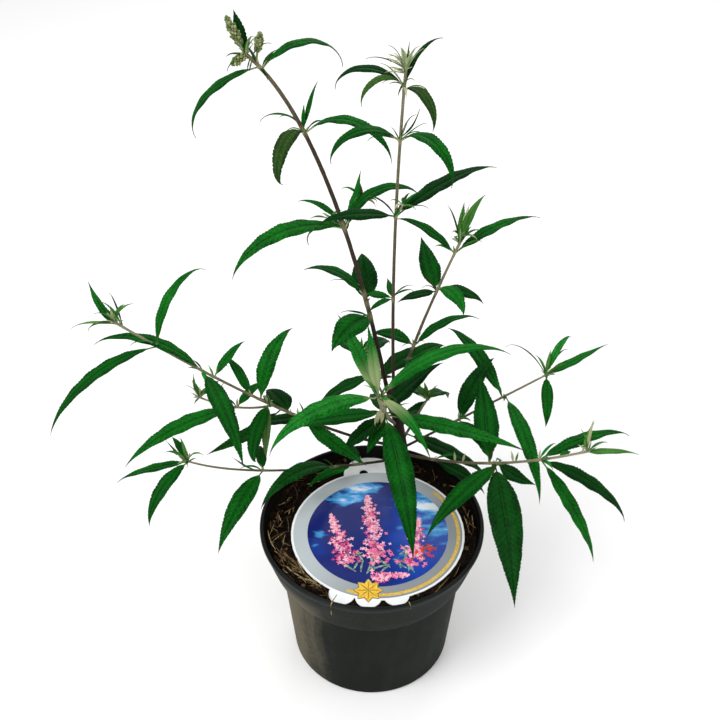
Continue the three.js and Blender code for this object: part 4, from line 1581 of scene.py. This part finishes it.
    def _sprig(self, shoot: Shoot, sprig: Sprig) -> tuple[Shoot, list[tuple[Form, Tone]]]:
        """A short twig and the small leaves that stand in pairs on it and round its tip.

        Args:
            shoot: What it grows from.
            sprig: Its place and sizes.

        Returns:
            The twig and its leaves with their finishes.
        """
        draw = self.rng.uniform
        foot = shoot.at(sprig.share)
        tip = foot + towards(sprig.heading, sprig.rise) * sprig.length
        bend = (foot + tip) / 2 + np.array([0, 0, -0.1 * sprig.length])
        twig = Shoot(tuple(foot), tuple(bend), tuple(tip), (0.75, 0.5), 0, ())
        grown = []
        for i in range(5):
            length = sprig.leaf * draw(0.65, 1.15)
            grown.append((Form(
                0.97, length, length * draw(0.16, 0.24), sprig.heading + i * 72 + draw(-25, 25),
                draw(15, 75), draw(20, 100),
            ), (FRESH, OLIVE, LIT, FRESH, FELT)[i]))
        if sprig.length > 10:
            for turn in (80, -80):
                grown.append((Form(
                    0.6, sprig.leaf * 0.7, 2.8, sprig.heading + turn + draw(-15, 15),
                    draw(10, 50), draw(30, 100),
                ), MID))
        return twig, grown

    def foliage(self) -> None:
        """Makes one piece of leaves for each mass, in place of its CAD node."""
        finishes = [f.material() for f in LEAF_FINISHES]
        numbers = series(self.seed)
        self.sprigs: list[Shoot] = []
        for name, parts in self.shoots.items():
            leaves = []
            for part in parts:
                leaves += self._long_leaves(part)
                leaves += self._young_leaves(name, part, numbers)
                fine = (*part.small, *self._fine_forms(part))
                leaves += [self._small(part, form, tone) for form, tone in fine]
                for sprig in part.sprigs:
                    twig, grown = self._sprig(part, sprig)
                    self.sprigs.append(twig)
                    leaves += [self._small(twig, form, tone) for form, tone in grown]
            shown(f"foliage_{name}", joined(leaves), finishes,
                  (f"leaves_{name}",), sharp=70)

    def _long_leaves(self, part: Shoot) -> list[Surface]:
        """The long leaves of one shoot."""
        made = []
        for number, form in enumerate(part.leaves):
            tone = part.tones.get(number, part.tone)
            # A leaf of the deep finish, painted shade, gets the dark underside, which is painted
            # shade too.
            under = UNDER_SHADED if tone == SHADED else UNDER
            curl = self.curls[0 if form.length < self.very_long else 1]
            root = part.root_of(form)
            foot = part.feet.get(number, 0.1)
            made.append(self.blade.surface(root, form, tone, under, self.rng, curl, foot))
        return made

    def _young_leaves(self, name: str, part: Shoot, numbers: Iterator[float]) -> list[Surface]:
        """The young leaves of one shoot that have room to grow."""
        made = []
        for form in self._young_forms(part, numbers):
            root = part.root_of(form)
            points, _, half, _ = self.blade.midrib(root, form, self.young_steps)
            if not self.room.free(name, points, half):
                continue
            self.room.record(name, points, half)
            # The bright finish is the mid green with painted light.
            axil = OLIVE if self.rng.uniform() < self.olive_share else LIT
            tone = part.tuft_tone if form.share > 0.94 else axil
            made.append(self.blade.surface(root, form, tone, UNDER, self.rng, self.curls[2]))
        return made

    def _small(self, part: Shoot, form: Form, tone: Tone) -> Surface:
        """A small leaf of its own finish with a pale underside."""
        curl = self.curls[3]
        return self.blade.surface(part.root_of(form), form, tone, UNDER, self.rng, curl)

    def _stem(self, shoot: Shoot, start: float, stop: float, age: tuple[float, float]) -> Surface:
        """A length of stem: slightly four-sided, ridged, and swollen where leaves stand.

        The radius is the even taper · (1 + swelling + squareness · cos 4φ + ripple).

        Args:
            shoot: The cane, side shoot or twig.
            start: The share where the stem begins.
            stop: The share where it ends.
            age: The mark age at the two ends.

        Returns:
            The stem with the marks skin, age and swell.
        """
        dense = shoot.at(np.linspace(start, stop, 60))
        length = np.linalg.norm(np.diff(dense, axis=0), axis=1).sum()
        rings = max(6, int(length / self.stem_step))
        share = np.linspace(start, stop, rings)
        along = shoot.heading_at(share)
        middle = shoot.heading_at((start + stop) / 2)
        across = np.array([1.0, 0, 0]) if abs(middle[0]) < 0.7 else np.array([0, 1.0, 0])
        side = unit(np.cross(across, along))
        out = np.cross(side, along)
        turn = turns(self.stem_sides)
        run = length / max(stop - start, 1e-6)
        swell = np.zeros(rings)
        for at in {round(f.share, 2) for f in shoot.leaves}:
            swell = np.maximum(swell, np.exp(-(((share - at) * run) / self.node_reach) ** 2))
        skin = wrapped(share * run, turn, 2.4)
        radius = shoot.radius_at(share)[:, None] * (
            1 + self.node_swell * swell[:, None] + self.squareness * np.cos(4 * turn)
            + self.stem_bark * ripple(skin * np.array([0.5, 1, 1]), 3.5, 5))
        points = shoot.at(share)[:, None] + radius[..., None] * spokes(side, out, turn)
        end = shoot.at(stop) + along[-1] * float(shoot.radius_at(stop)) * 0.6
        return barked(points, (shoot.at(start), end), skin, np.linspace(*age, rings), swell)

    def _trunk(self) -> Surface:
        """The trunk: a straight leaning limb with a flared foot and a knuckle at its top.

        With near = 1 - share / flare share at the foot, and the like at the top, the radius is
        waist + (flare - waist) · near² + (knuckle - waist) · sin(pi/2 · near), times the bark.
        """
        share, turn = np.linspace(0, 1, 64), turns(26)
        flare = np.clip(1 - share / self.flare_share, 0, None) ** 2
        knuckle = np.sin(np.pi / 2 * np.clip(1 - (1 - share) / self.flare_share, 0, None))
        even = (self.waist_radius + (self.flare_radius - self.waist_radius) * flare
                + (self.knuckle_radius - self.waist_radius) * knuckle)
        centre = TRUNK_FOOT + (TRUNK_TOP - TRUNK_FOOT) * share[:, None]
        skin = wrapped(share * 88, turn, 4.5)
        bark = 1 + self.trunk_bark * ripple(skin * np.array([0.35, 1, 1]), 3.4, 9) + (
            0.05 * np.cos(3 * turn + 1) * flare[:, None])
        points = centre[:, None] + circled(even[:, None] * bark, turn, 0.0)
        ends = (centre[0], centre[-1] + np.array([0, 0, 0.8]))
        return barked(points, ends, skin, 0.1 * share, 0 * share)

    def wood(self) -> None:
        """Makes the bark of trunk and boughs, and the green upper stems and twigs."""
        skin = StemFinish().material()
        bark = [self._trunk()]
        stems = []
        for parts in self.shoots.values():
            cane = parts[0]
            old, new = cane.age
            change = lerp(old, new, cane.bare)
            bark.append(self._stem(cane, 0.0, cane.bare + 0.01, (old, change)))
            stems.append(self._stem(cane, cane.bare, 1.0, (change, new)))
            stems += [self._stem(side, 0.0, 1.0, self.side_age) for side in parts[1:]]
        stems += [self._stem(twig, 0.0, 1.0, self.twig_age) for twig in self.sprigs]
        boughs = tuple(f"bough_{name}" for name in self.shoots)
        shown("bark", joined(bark), [skin], ("trunk", *boughs), sharp=60)
        shown("upper_stems", joined(stems), [skin])

    def buds(self) -> None:
        """Makes the bud spikes: small buds in a spiral round each spindle, on a thin stalk."""
        cane = CANES["tall_left"]
        lines, radii, frames, places, finish = [], [], [], [], []
        for share, stalk, length, radius, heading, rise in cane.spikes:
            root, axis = cane.at(share), towards(heading, rise)
            steps = np.linspace(0, 1, 8)[:, None]
            lines.append(root + axis * steps * (stalk + length * 0.9))
            radii.append(lerp(0.9, 0.45, steps[:, 0]))
            count = int(length * radius * 1.15)
            at = (np.arange(count) + 0.5) / count
            golden = np.arange(count) * math.radians(self.golden_angle)
            side = unit(np.cross(axis, [0.1, 0.2, 1.0]))
            outward = spokes(side, np.cross(axis, side), golden)
            lumps = np.where(np.sin(at * length * 1.1) > 0, 1.0, 0.72)
            spread = radius * np.sin(np.pi * at ** 0.8) ** 0.6 * lumps * 0.72
            places.append(root + axis * (stalk + at * length)[:, None] + outward * spread[:, None])
            tall = unit(outward + axis * 0.9)
            wide = unit(np.cross(tall, axis + 0.01))
            deep = np.cross(tall, wide)
            size = self.rng.uniform(0.75, 1.15, count) * 0.95
            frames.append(np.stack([
                wide * size[:, None], deep * size[:, None], tall * (size * 1.45)[:, None],
            ], 1))
            finish.append((self.rng.uniform(size=count) < 0.4).astype(int))
        stalks = tubes(np.stack(lines), np.stack(radii), 8, np.zeros(len(lines), int))
        beads = stamped(blob(), np.concatenate(frames), np.concatenate(places),
                        np.concatenate(finish))
        finishes = finished(
            BudFinish, ("bud_olive", "3a4a1c", "6f7f3a"), ("bud_pale", "6f7a40", "a3ab68"))
        shown("bud_spikes", joined([stalks, beads]), finishes)


# --- Pot, soil and label --------------------------------------------------------------------


@dataclass
class NurseryPot:
    """A thin-walled pot: a straight wall, a flared collar over it and a rolled lip."""

    height: float = 130.0
    lip_radius: float = 85.0
    collar_top: float = 84.0
    collar_foot: float = 73.0
    collar_height: float = 90.0
    wall_top: float = 70.0
    base: float = 62.5
    wall: float = 1.8
    floor: float = 3.0
    drains: int = 6
    drain_radius: float = 5.0
    drain_circle: float = 42.0
    sides: int = 144
    sharp: float = 38.0

    def inner_radius(self, height: float) -> float:
        """The radius of the inner face at a height on the collar."""
        share = (height - self.collar_height) / (self.height - 4 - self.collar_height)
        return lerp(self.wall_top, self.collar_top, share) - self.wall

    def build(self) -> None:
        """Makes the pot: an eased profile turned round, made a little uneven, and drilled."""
        top, foot = self.height, self.collar_height
        outer = [
            (0, 0.6), (40, 0.6), (self.base - 6, 0.4), (self.base - 3.5, 0), (self.base - 1, 0),
            (self.base, 1.5), (self.wall_top, foot), (self.collar_foot, foot + 1.2),
            (lerp(self.collar_foot, self.collar_top, 0.3) + 0.7, lerp(foot, top - 4, 0.3)),
            (lerp(self.collar_foot, self.collar_top, 0.65) + 0.5, lerp(foot, top - 4, 0.65)),
            (self.collar_top, top - 4), (self.lip_radius, top - 3.2),
            (self.lip_radius, top - 0.8), (self.lip_radius - 1, top),
        ]
        inner = [
            (self.collar_top - self.wall, top), (self.collar_top - self.wall, top - 4),
            (self.wall_top - self.wall, foot), (self.base - self.wall, self.floor),
            (0, self.floor),
        ]
        surface = lathe(eased(np.array(outer + inner, float), 0.5, 5.0), self.sides)
        x, y, z = surface.points.T
        turn = np.arctan2(y, x)
        share = np.clip(z / 100, 0, 1) * np.clip((self.height - z) / 12, 0, 1)
        uneven = 1 + share * (0.0035 * np.sin(2 * turn + 0.6) + 0.002 * np.sin(5 * turn + z / 30))
        surface.points[:, 0] *= uneven
        surface.points[:, 1] *= uneven
        finishes = [PotFinish().material()]
        pot = shown("nursery_pot", surface, finishes, ("pot",), sharp=self.sharp)
        self._drill(pot)

    def _drill(self, pot: bpy.types.Object) -> None:
        """Cuts the drain holes through the floor and keeps the result as the pot's mesh."""
        turn = (np.arange(self.drains) + 0.5) * 2 * np.pi / self.drains
        centre = circled(self.drain_circle, turn, 0.0)
        heights = np.linspace(-4, 8, 4)
        lines = centre[:, None] + np.array([0, 0, 1.0]) * heights[:, None]
        radii = np.full((self.drains, len(heights)), self.drain_radius)
        drills = tubes(lines, radii, 20, np.zeros(self.drains, int))
        mesh = bpy.data.meshes.new("drills")
        faces = [tuple(f) for f in drills.quads] + [tuple(f) for f in drills.tris]
        mesh.from_pydata((drills.points * MM).tolist(), [], faces)
        cutter = placed("drills", mesh)
        cut = pot.modifiers.new("drains", "BOOLEAN")
        cut.operation, cut.object, cut.solver = "DIFFERENCE", cutter, "EXACT"
        evaluated = pot.evaluated_get(bpy.context.evaluated_depsgraph_get())
        drilled = bpy.data.meshes.new_from_object(evaluated)
        pot.modifiers.clear()
        pot.data = drilled
        drilled.set_sharp_from_angle(angle=math.radians(self.sharp))
        bpy.data.objects.remove(cutter)


LABEL_CENTRE = (4.5, -4.0)


class Cluster(NamedTuple):
    """A patch of straws: its angle and spread round the pot, its count and the straws' heading."""

    angle: float
    spread: float
    count: int
    heading: float
    turn: float


def bent(
    middle: np.ndarray, heading: np.ndarray, reach: np.ndarray, bow: np.ndarray,
) -> np.ndarray:
    """Flat curves: middle + along · reach + across · bow.

    Args:
        middle: A point of each curve, as curves x 2.
        heading: Each curve's heading in radians.
        reach: How far along it each station lies, as curves x stations.
        bow: How far aside of it each station lies, as curves x stations.

    Returns:
        Points as curves x stations x 2.
    """
    along = np.stack([np.cos(heading), np.sin(heading)], 1)
    across = np.stack([-along[:, 1], along[:, 0]], 1)
    return middle[:, None] + along[:, None] * reach[..., None] + across[:, None] * bow[..., None]


@dataclass
class Soil:
    """The peat in the pot, with crumbs, chips and straws on its surface.

    The lumps are ripples, each with its height, size and seed. Litter is scattered up to one
    radius, and what reaches beyond the edge of its own kind is left out.
    """

    pot: NurseryPot
    label_centre: tuple[float, float] = LABEL_CENTRE
    label_radius: float = 66.0
    lobe_centre: float = -1.0
    lobe_half: float = 21.0
    lobe_reach: float = 77.5
    lobe_corner: float = 19.0
    tail_radius: float = 9.6
    tail_centres: tuple[tuple[float, float], ...] = ((-22, -64), (-3, -67), (17, -65))
    seed: int = 31
    lumps: tuple[tuple[float, float, int], ...] = ((1.3, 16, 3), (0.7, 6, 4), (0.4, 3, 6))
    crumb_count: int = 2600
    scatter: float = 79.0
    crumb_edge: float = 79.2
    straw_edge: float = 79.4
    clusters: tuple[Cluster, ...] = (
        Cluster(212, 8, 38, 318, 14), Cluster(196, 14, 9, 300, 40),
        Cluster(240, 12, 12, 335, 25), Cluster(357, 10, 22, 75, 40), Cluster(325, 18, 20, 40, 45),
        Cluster(160, 26, 10, 20, 90), Cluster(60, 60, 12, 0, 180), Cluster(120, 40, 9, 0, 180),
    )

    def _away(self, x: np.ndarray, y: np.ndarray) -> np.ndarray:
        """How far points lie outside the label: its disc, its round-cornered lobe and its tail."""
        disc = np.hypot(x - self.label_centre[0], y - self.label_centre[1]) - self.label_radius
        beside = np.maximum(np.abs(x - self.lobe_centre) - self.lobe_half + self.lobe_corner, 0)
        beyond = np.maximum(y - self.lobe_reach + self.lobe_corner, 0)
        lobe = np.maximum(np.hypot(beside, beyond) - self.lobe_corner, -y)
        tail = [np.hypot(x - at, y - out) - self.tail_radius for at, out in self.tail_centres]
        return np.minimum.reduce([disc, lobe, *tail])

    def _ground(self, x: np.ndarray, y: np.ndarray) -> np.ndarray:
        """The height of the peat: level under the label and lumpy outside it."""
        points = np.stack([x, y], -1)
        lumps = sum(high * ripple(points, size, seed) for high, size, seed in self.lumps)
        bank = 1.2 * np.clip((np.hypot(x, y) - 66) / 12, 0, 1)
        free = np.clip(self._away(x, y) / 5, 0, 1)
        return SOIL_TOP + free * (lumps + bank) + (free - 1) * 0.2

    def peat(self) -> None:
        """Makes the root ball: a turned body whose top follows the ground."""
        radius = self.pot.inner_radius(SOIL_TOP) - 0.3
        top = np.stack([np.linspace(0, radius, 46), np.full(46, SOIL_TOP)], 1)
        lower = np.array([
            (self.pot.wall_top - self.pot.wall - 0.3, self.pot.collar_height),
            (self.pot.base - self.pot.wall - 0.3, self.pot.floor + 0.3), (0, self.pot.floor + 0.3),
        ])
        surface = lathe(np.concatenate([top, lower]), 180)
        on_top = surface.points[:, 2] > SOIL_TOP - 1
        x, y = surface.points[on_top, :2].T
        surface.points[on_top, 2] = self._ground(x, y)
        finishes = finished(PeatFinish, ("peat", "080503", "22170e"))
        shown("peat", surface, finishes, ("root_ball",), sharp=60)

    def crumbs(self) -> None:
        """Scatters small lumps of peat and bark, each a squashed, dented ball."""
        rng = np.random.default_rng(self.seed)
        count = self.crumb_count
        turn = rng.uniform(0, 2 * np.pi, count)
        reach = self.scatter * np.sqrt(rng.uniform(0.3, 1, count))
        x, y = reach * np.cos(turn), reach * np.sin(turn)
        size = rng.uniform(0.5, 1.7, count) ** 1.3
        keep = (self._away(x, y) > size + 0.4) & (reach + size * 1.4 < self.crumb_edge)
        x, y, size = x[keep], y[keep], size[keep]
        places = np.stack([x, y, self._ground(x, y) + size * 0.35], 1)
        first = unit(rng.normal(size=(len(x), 3)))
        second = unit(np.cross(first, rng.normal(size=(len(x), 3))))
        frames = np.stack([first * 1.3, second, np.cross(first, second) * 0.75], 1)
        finish = rng.choice(3, len(x), p=[0.7, 0.24, 0.06])
        surface = stamped(blob(5, 2), frames * size[:, None, None], places, finish)
        surface.points += 0.22 * ripple(surface.points, 1.6, 8)[:, None]
        finishes = finished(
            PeatFinish, ("peat_crumb", "0a0604", "21160e"), ("bark_chip", "1a1009", "3c2918"),
            ("pale_chip", "453522", "786244"))
        shown("peat_crumbs", surface, finishes, sharp=50)

    def straws(self) -> None:
        """Scatters straws and fibres in clusters: thin tapered tubes with a slight bend."""
        rng = np.random.default_rng(self.seed + 1)
        sets = [self._cluster(c, rng) for c in self.clusters]
        lines = np.concatenate([s[0] for s in sets] + [self._over_rim()])
        girth = np.concatenate([s[1] for s in sets] + [np.array([0.5, 0.4])])
        taper = np.array([0.45, 0.95, 1, 0.9, 0.4])
        finish = rng.choice(3, len(lines), p=[0.3, 0.38, 0.32])
        finish[-2:] = 0
        surface = tubes(lines, girth[:, None] * taper, 5, finish)
        finishes = finished(
            StrawFinish, ("straw_pale", "6f5d3c", "a5946a"), ("straw_tan", "463520", "75603e"),
            ("straw_brown", "271a0f", "4a3520"))
        shown("straws", surface, finishes)

    def _cluster(self, patch: Cluster, rng: np.random.Generator) -> tuple[np.ndarray, np.ndarray]:
        """The centre lines and girths of one cluster's straws that lie between label and wall.

        Args:
            patch: The cluster.
            rng: Gives each straw its place, length and bend.

        Returns:
            Lines as straws x 5 x 3, and a girth for each.
        """
        count = patch.count * 3
        turn = np.radians(patch.angle + rng.normal(size=count) * patch.spread)
        reach = rng.uniform(60, self.scatter, count)
        heading = np.radians(patch.heading + rng.normal(size=count) * patch.turn)
        length = rng.uniform(5, 19, count)
        bend = rng.uniform(-0.25, 0.25, count) * length
        t = np.linspace(-0.5, 0.5, 5)
        middle = np.stack([reach * np.cos(turn), reach * np.sin(turn)], 1)
        flat = bent(middle, heading, length[:, None] * t, bend[:, None] * (t ** 2 * 2 - 0.2))
        x, y = flat[..., 0], flat[..., 1]
        tilt = rng.uniform(-0.12, 0.12, count)[:, None] * length[:, None] * t
        girth = rng.uniform(0.22, 0.62, count)
        height = self._ground(x, y).max(1, keepdims=True) + 0.3 + girth[:, None] + (
            np.abs(tilt) * 0.5 + tilt + rng.uniform(0, 1.6, count)[:, None])
        fits = (self._away(x, y).min(1) > 0.8) & (np.hypot(x, y).max(1) < self.straw_edge)
        lines = np.concatenate([flat, height[..., None]], -1)[fits][:patch.count]
        return lines, girth[fits][:patch.count]

    def _over_rim(self) -> np.ndarray:
        """Two straws that lie over the front of the lip and hang down outside."""
        top, out = self.pot.height + 0.7, self.pot.lip_radius + 0.8
        rows = []
        for turn, inside, drop in ((250, 74, 13), (288, 80, 5)):
            way = np.array([math.cos(math.radians(turn)), math.sin(math.radians(turn))])
            stops = [
                (inside, top - 3), (self.pot.collar_top - 1, top), (out, top - 0.6),
                (out + 0.4, top - drop * 0.6), (out - 0.8, top - drop),
            ]
            rows.append([(*(way * radius), height) for radius, height in stops])
        return np.array(rows)


class Spray(NamedTuple):
    """A spray of florets: its foot, its tip, its width and how many it has."""

    foot: tuple[float, float]
    tip: tuple[float, float]
    width: float
    count: int


@dataclass
class PictureLabel:
    """The print on the round label: a ring, a thin arc, a sky and sprays of small flowers.

    A layer of a petal of the rosette has its width, its share of the length, its height over the
    card and its finish.
    """

    centre: tuple[float, float] = LABEL_CENTRE
    card_top: float = SOIL_TOP + 0.9
    picture: float = 53.5
    ring: float = 64.2
    arc: tuple[float, float] = (60.0, 62.6)
    ink: float = 0.05
    rosette_centre: tuple[float, float] = (-3.0, -61.0)
    petal_length: float = 10.5
    petal_layers: tuple[tuple[float, float, float, int], ...] = (
        (7.0, 1.05, 0.08, 1), (6.0, 1.0, 0.22, 0), (0.4, 0.8, 0.36, 1),
    )
    sprays: tuple[Spray, ...] = (
        Spray((-22, -34), (-36, 18), 11, 210), Spray((0, -34), (-8, 38), 13, 320),
        Spray((24, -34), (32, 14), 11, 200), Spray((-6, -46), (22, -42), 7, 100),
    )
    seed: int = 77

    def build(self) -> None:
        """Dresses the card and lays the print on it."""
        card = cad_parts["plant_label"]
        card.data.materials.clear()
        card.data.materials.append(CardFinish().material())
        self._print()
        self._flowers()

    def _plate(
        self, inner: float, outer: float, turns: tuple[float, float], finish: int,
        lift: float = 0.0,
    ) -> Surface:
        """A thin closed band of ink between two radii and two angles in degrees.

        Args:
            inner: The inner radius, which may be 0.
            outer: The outer radius.
            turns: The first and last angle; a full turn makes a closed ring.
            finish: The finish number.
            lift: How far its upper face lies over the other bands.

        Returns:
            The band, lying on the card.
        """
        whole = turns[1] - turns[0] >= 360
        count = 120 if whole else 60
        turn = np.radians(np.linspace(*turns, count, endpoint=not whole))
        low, high = self.card_top - 0.02, self.card_top + self.ink + lift
        way = np.stack([np.cos(turn), np.sin(turn)], 1)

        def rim(radius: float, height: float) -> np.ndarray:
            """Points at one radius and height."""
            flat = np.array(self.centre) + way * radius
            return np.concatenate([flat, np.full((count, 1), height)], 1)

        if inner == 0:
            middle = np.array([*self.centre, 0.0])
            rings = np.stack([rim(outer * 0.5, high), rim(outer, high), rim(outer, low)])
            return capped(rings, middle + [0, 0, high], middle + [0, 0, low], finish)
        rings = np.stack([rim(inner, high), rim(outer, high), rim(outer, low), rim(inner, low)], 1)
        if whole:
            closed = np.concatenate([rings, rings[:1]])
            surface = capped(closed, closed[0].mean(0), closed[-1].mean(0), finish)
            surface.quads %= count * 4
            return Surface(surface.points[:count * 4], surface.quads, np.zeros((0, 3), int),
                           surface.quad_finish, np.zeros(0, int)).outward()
        return capped(rings, rings[0].mean(0), rings[-1].mean(0), finish)

    def _print(self) -> None:
        """Makes the picture's sky, the silver ring and the gold arc."""
        bands = [
            self._plate(0, self.picture, (0, 360), 0),
            self._plate(self.picture + 0.05, self.ring, (0, 360), 1),
            self._plate(*self.arc, (-112, 44), 2, 0.05),
        ]
        finishes = [
            SkyFinish().material(), SilverFinish().material(),
            *finished(InkFinish, ("gold_line", "c9a23e", "e0c067")),
        ]
        shown("label_print", joined(bands), finishes, sharp=40)
        self._rosette()

    def _rosette(self) -> None:
        """Lays a plain golden flower of eight oval petals over the tail, each edged in brown.

        A petal's half width is sin(pi · share^0.8) of its widest; the edge is the same shape,
        wider by a sixth, under it, and its vein is a narrow one over it.
        """
        turn = np.linspace(0, 2 * np.pi, 24, endpoint=False)
        share = (1 - np.cos(turn)) / 2
        half = np.sin(np.pi * share ** 0.8) * np.where(np.sin(turn) < 0, -1, 1) * 0.5
        flat = np.stack([share, half, 0 * turn], 1)[:, [1, 0, 2]]
        middle = np.array([0, 0.5, 0])
        oval = capped(np.stack([flat, flat + [0, 0, 1]]), middle, middle + [0, 0, 1])
        frames, places, finish = [], [], []
        for heading in range(0, 360, 45):
            way = np.array([math.cos(math.radians(heading)), math.sin(math.radians(heading)), 0])
            side = np.array([way[1], -way[0], 0])
            for wide, long, high, ink in self.petal_layers:
                reach = way * self.petal_length * long
                frames.append([side * wide, reach, [0, 0, high + heading * 0.0003]])
                places.append([*self.rosette_centre, self.card_top])
                finish.append(ink)
        petals = stamped(oval, np.array(frames), np.array(places), np.array(finish))
        finishes = finished(
            InkFinish, ("golden_petal", "d9a92c", "efc955"), ("golden_edge", "4b3716", "6a5122"))
        shown("label_rosette", petals, finishes, sharp=40)

    def _floret(self) -> Surface:
        """A flat flower of four petals: the radius is 0.66 + 0.34 cos 4φ, raised in the middle."""
        turn = turns(16)
        radius = 0.66 + 0.34 * np.cos(4 * turn)
        flat = circled(radius, turn, 0.0)
        return capped(np.stack([flat, flat + [0, 0, 0.04]]), np.zeros(3), np.array([0, 0, 0.09]))

    def _flowers(self) -> None:
        """Lays sprays of small flowers and grey-green leaves on the sky, in a layout of its own."""
        rng = np.random.default_rng(self.seed)
        top = self.card_top + self.ink
        spots, sizes, finish = [], [], []
        for foot, tip, width, count in self.sprays:
            foot, tip = np.array(foot, float), np.array(tip, float)
            at = rng.uniform(0, 1, count) ** 0.8
            across = np.array([-(tip - foot)[1], (tip - foot)[0]]) / np.linalg.norm(tip - foot)
            lean = rng.normal(size=count) * 0.45 * width * (1.02 - at) ** 0.7
            spots.append(foot + (tip - foot) * at[:, None] + across * lean[:, None])
            sizes.append(rng.uniform(1.4, 2.4, count) * (1.1 - 0.4 * at))
            finish.append(np.where(rng.uniform(size=count) < 0.25 + 0.4 * at, 0,
                                   np.where(rng.uniform(size=count) < 0.6, 1, 2)))
        spots.append(np.array([36, -18.0]) + rng.normal(size=(26, 2)) * np.array([5, 4]))
        sizes.append(rng.uniform(1.4, 2.2, 26))
        finish.append(np.full(26, 3))
        spots, sizes, finish = map(np.concatenate, (spots, sizes, finish))
        keep = np.hypot(*spots.T) < self.picture - 2.5
        spots, sizes, finish = spots[keep], sizes[keep], finish[keep]
        turn = rng.uniform(0, np.pi / 2, len(spots))
        cos, sin, none = np.cos(turn) * sizes, np.sin(turn) * sizes, np.zeros(len(spots))
        frames = np.stack([
            np.stack([cos, sin, none], 1), np.stack([-sin, cos, none], 1),
            np.stack([none, none, none + 1], 1),
        ], 1)
        layer = top + 0.04 + 0.16 * rng.uniform(size=len(spots))
        places = np.concatenate([spots + np.array(self.centre), layer[:, None]], 1)
        flowers = stamped(self._floret(), frames, places, finish)
        stalks = self._stalks(rng, top)
        finishes = finished(
            InkFinish, ("petal_pale", "f0a6bd", "f9cdd8"), ("petal_pink", "dd5f8c", "ee8fae"),
            ("petal_deep", "a92462", "cf4680"), ("petal_red", "c22a1c", "e04a34"),
            ("printed_leaf", "4d6a58", "9db3a3"))
        shown("label_flowers", joined([stalks, flowers]), finishes, sharp=40)

    def _stalks(self, rng: np.random.Generator, top: float) -> Surface:
        """Thin grey-green leaves and stalks at the foot of the sprays, flat on the print."""
        count = 30
        foot = np.stack([rng.uniform(-24, 34, count), rng.uniform(-42, -20, count)], 1)
        heading = np.radians(rng.uniform(20, 160, count))
        length = rng.uniform(7, 17, count)
        t = np.linspace(0, 1, 5)
        bend = rng.uniform(-0.3, 0.3, count) * length
        flat = bent(foot, heading, length[:, None] * t, bend[:, None] * t ** 2)
        keep = np.hypot(flat[..., 0], flat[..., 1]).max(1) < self.picture - 1.5
        height = np.full((count, 5, 1), top + 0.02)
        lines = np.concatenate([flat + np.array(self.centre), height], -1)[keep]
        girth = np.array([0.25, 0.7, 0.85, 0.6, 0.15])[None] * np.ones((len(lines), 1))
        blades = tubes(lines, girth, 4, np.full(len(lines), 4))
        blades.points[:, 2] = top + 0.02 + (blades.points[:, 2] - top - 0.02) * 0.08
        return blades


# --- Studio ---------------------------------------------------------------------------------


class Lamp(NamedTuple):
    """A square area light: its name, place in metres, side and watts."""

    name: str
    place: tuple[float, float, float]
    size: float
    watts: float


@dataclass
class Studio:
    """A pale floor, soft lights and the camera, in metres and degrees."""

    eye: tuple[float, float, float] = (-0.009, -0.586, 0.750)
    pitch: float = 38.4
    lens: float = 55.6
    sensor: float = 36.0
    clip: tuple[float, float] = (0.02, 50)
    floor_reach: float = 12.0
    lamps: tuple[Lamp, ...] = (
        Lamp("key", (-0.9, -0.7, 1.7), 0.9, 22.0), Lamp("fill", (1.2, -0.5, 1.1), 1.2, 6.0),
        Lamp("back", (0.3, 1.4, 1.3), 1.0, 7.0),
    )
    lit: tuple[float, float, float] = (0, 0.03, 0.22)
    surrounding: float = 0.66

    def camera(self) -> None:
        """Places the camera, which looks along +Y and down by its pitch."""
        data = bpy.data.cameras.new("camera")
        data.lens, data.sensor_width = self.lens, self.sensor
        data.clip_start, data.clip_end = self.clip
        camera = placed("camera", data)
        camera.location = self.eye
        camera.rotation_euler = (math.radians(90 - self.pitch), 0, 0)
        bpy.context.scene.camera = camera

    def floor(self) -> None:
        """Lays the floor under the pot."""
        mesh = bpy.data.meshes.new("floor")
        reach = self.floor_reach
        mesh.from_pydata(
            [(-reach, -reach, 0), (reach, -reach, 0), (reach, reach, 0), (-reach, reach, 0)],
            [], [(0, 1, 2, 3)])
        mesh.materials.append(FloorFinish().material())
        placed("floor", mesh)

    def lights(self) -> None:
        """Hangs the lamps, each turned to the plant, in a bright even surrounding."""
        for name, place, size, watts in self.lamps:
            data = bpy.data.lights.new(name, "AREA")
            data.size, data.energy = size, watts
            light = placed(name, data)
            light.location = place
            aim = np.array(self.lit) - np.array(place)
            flat = math.hypot(aim[0], aim[1])
            light.rotation_euler = (
                math.atan2(flat, -aim[2]), 0, math.atan2(aim[1], aim[0]) - math.pi / 2)
        world = bpy.data.worlds.new("studio")
        world.use_nodes = True
        background = world.node_tree.nodes["Background"].inputs
        background["Color"].default_value = (1, 1, 1, 1)
        background["Strength"].default_value = self.surrounding
        bpy.context.scene.world = world
        bpy.context.scene.view_settings.view_transform = "Standard"

    def build(self) -> None:
        """Sets up the whole studio."""
        self.camera()
        self.floor()
        self.lights()


def main() -> None:
    """Builds every part in order."""
    Studio().build()
    pot = NurseryPot()
    pot.build()
    soil = Soil(pot)
    soil.peat()
    soil.crumbs()
    soil.straws()
    PictureLabel().build()
    bush = Bush()
    bush.foliage()
    bush.wood()
    bush.buds()


if __name__ == "__main__":
    main()
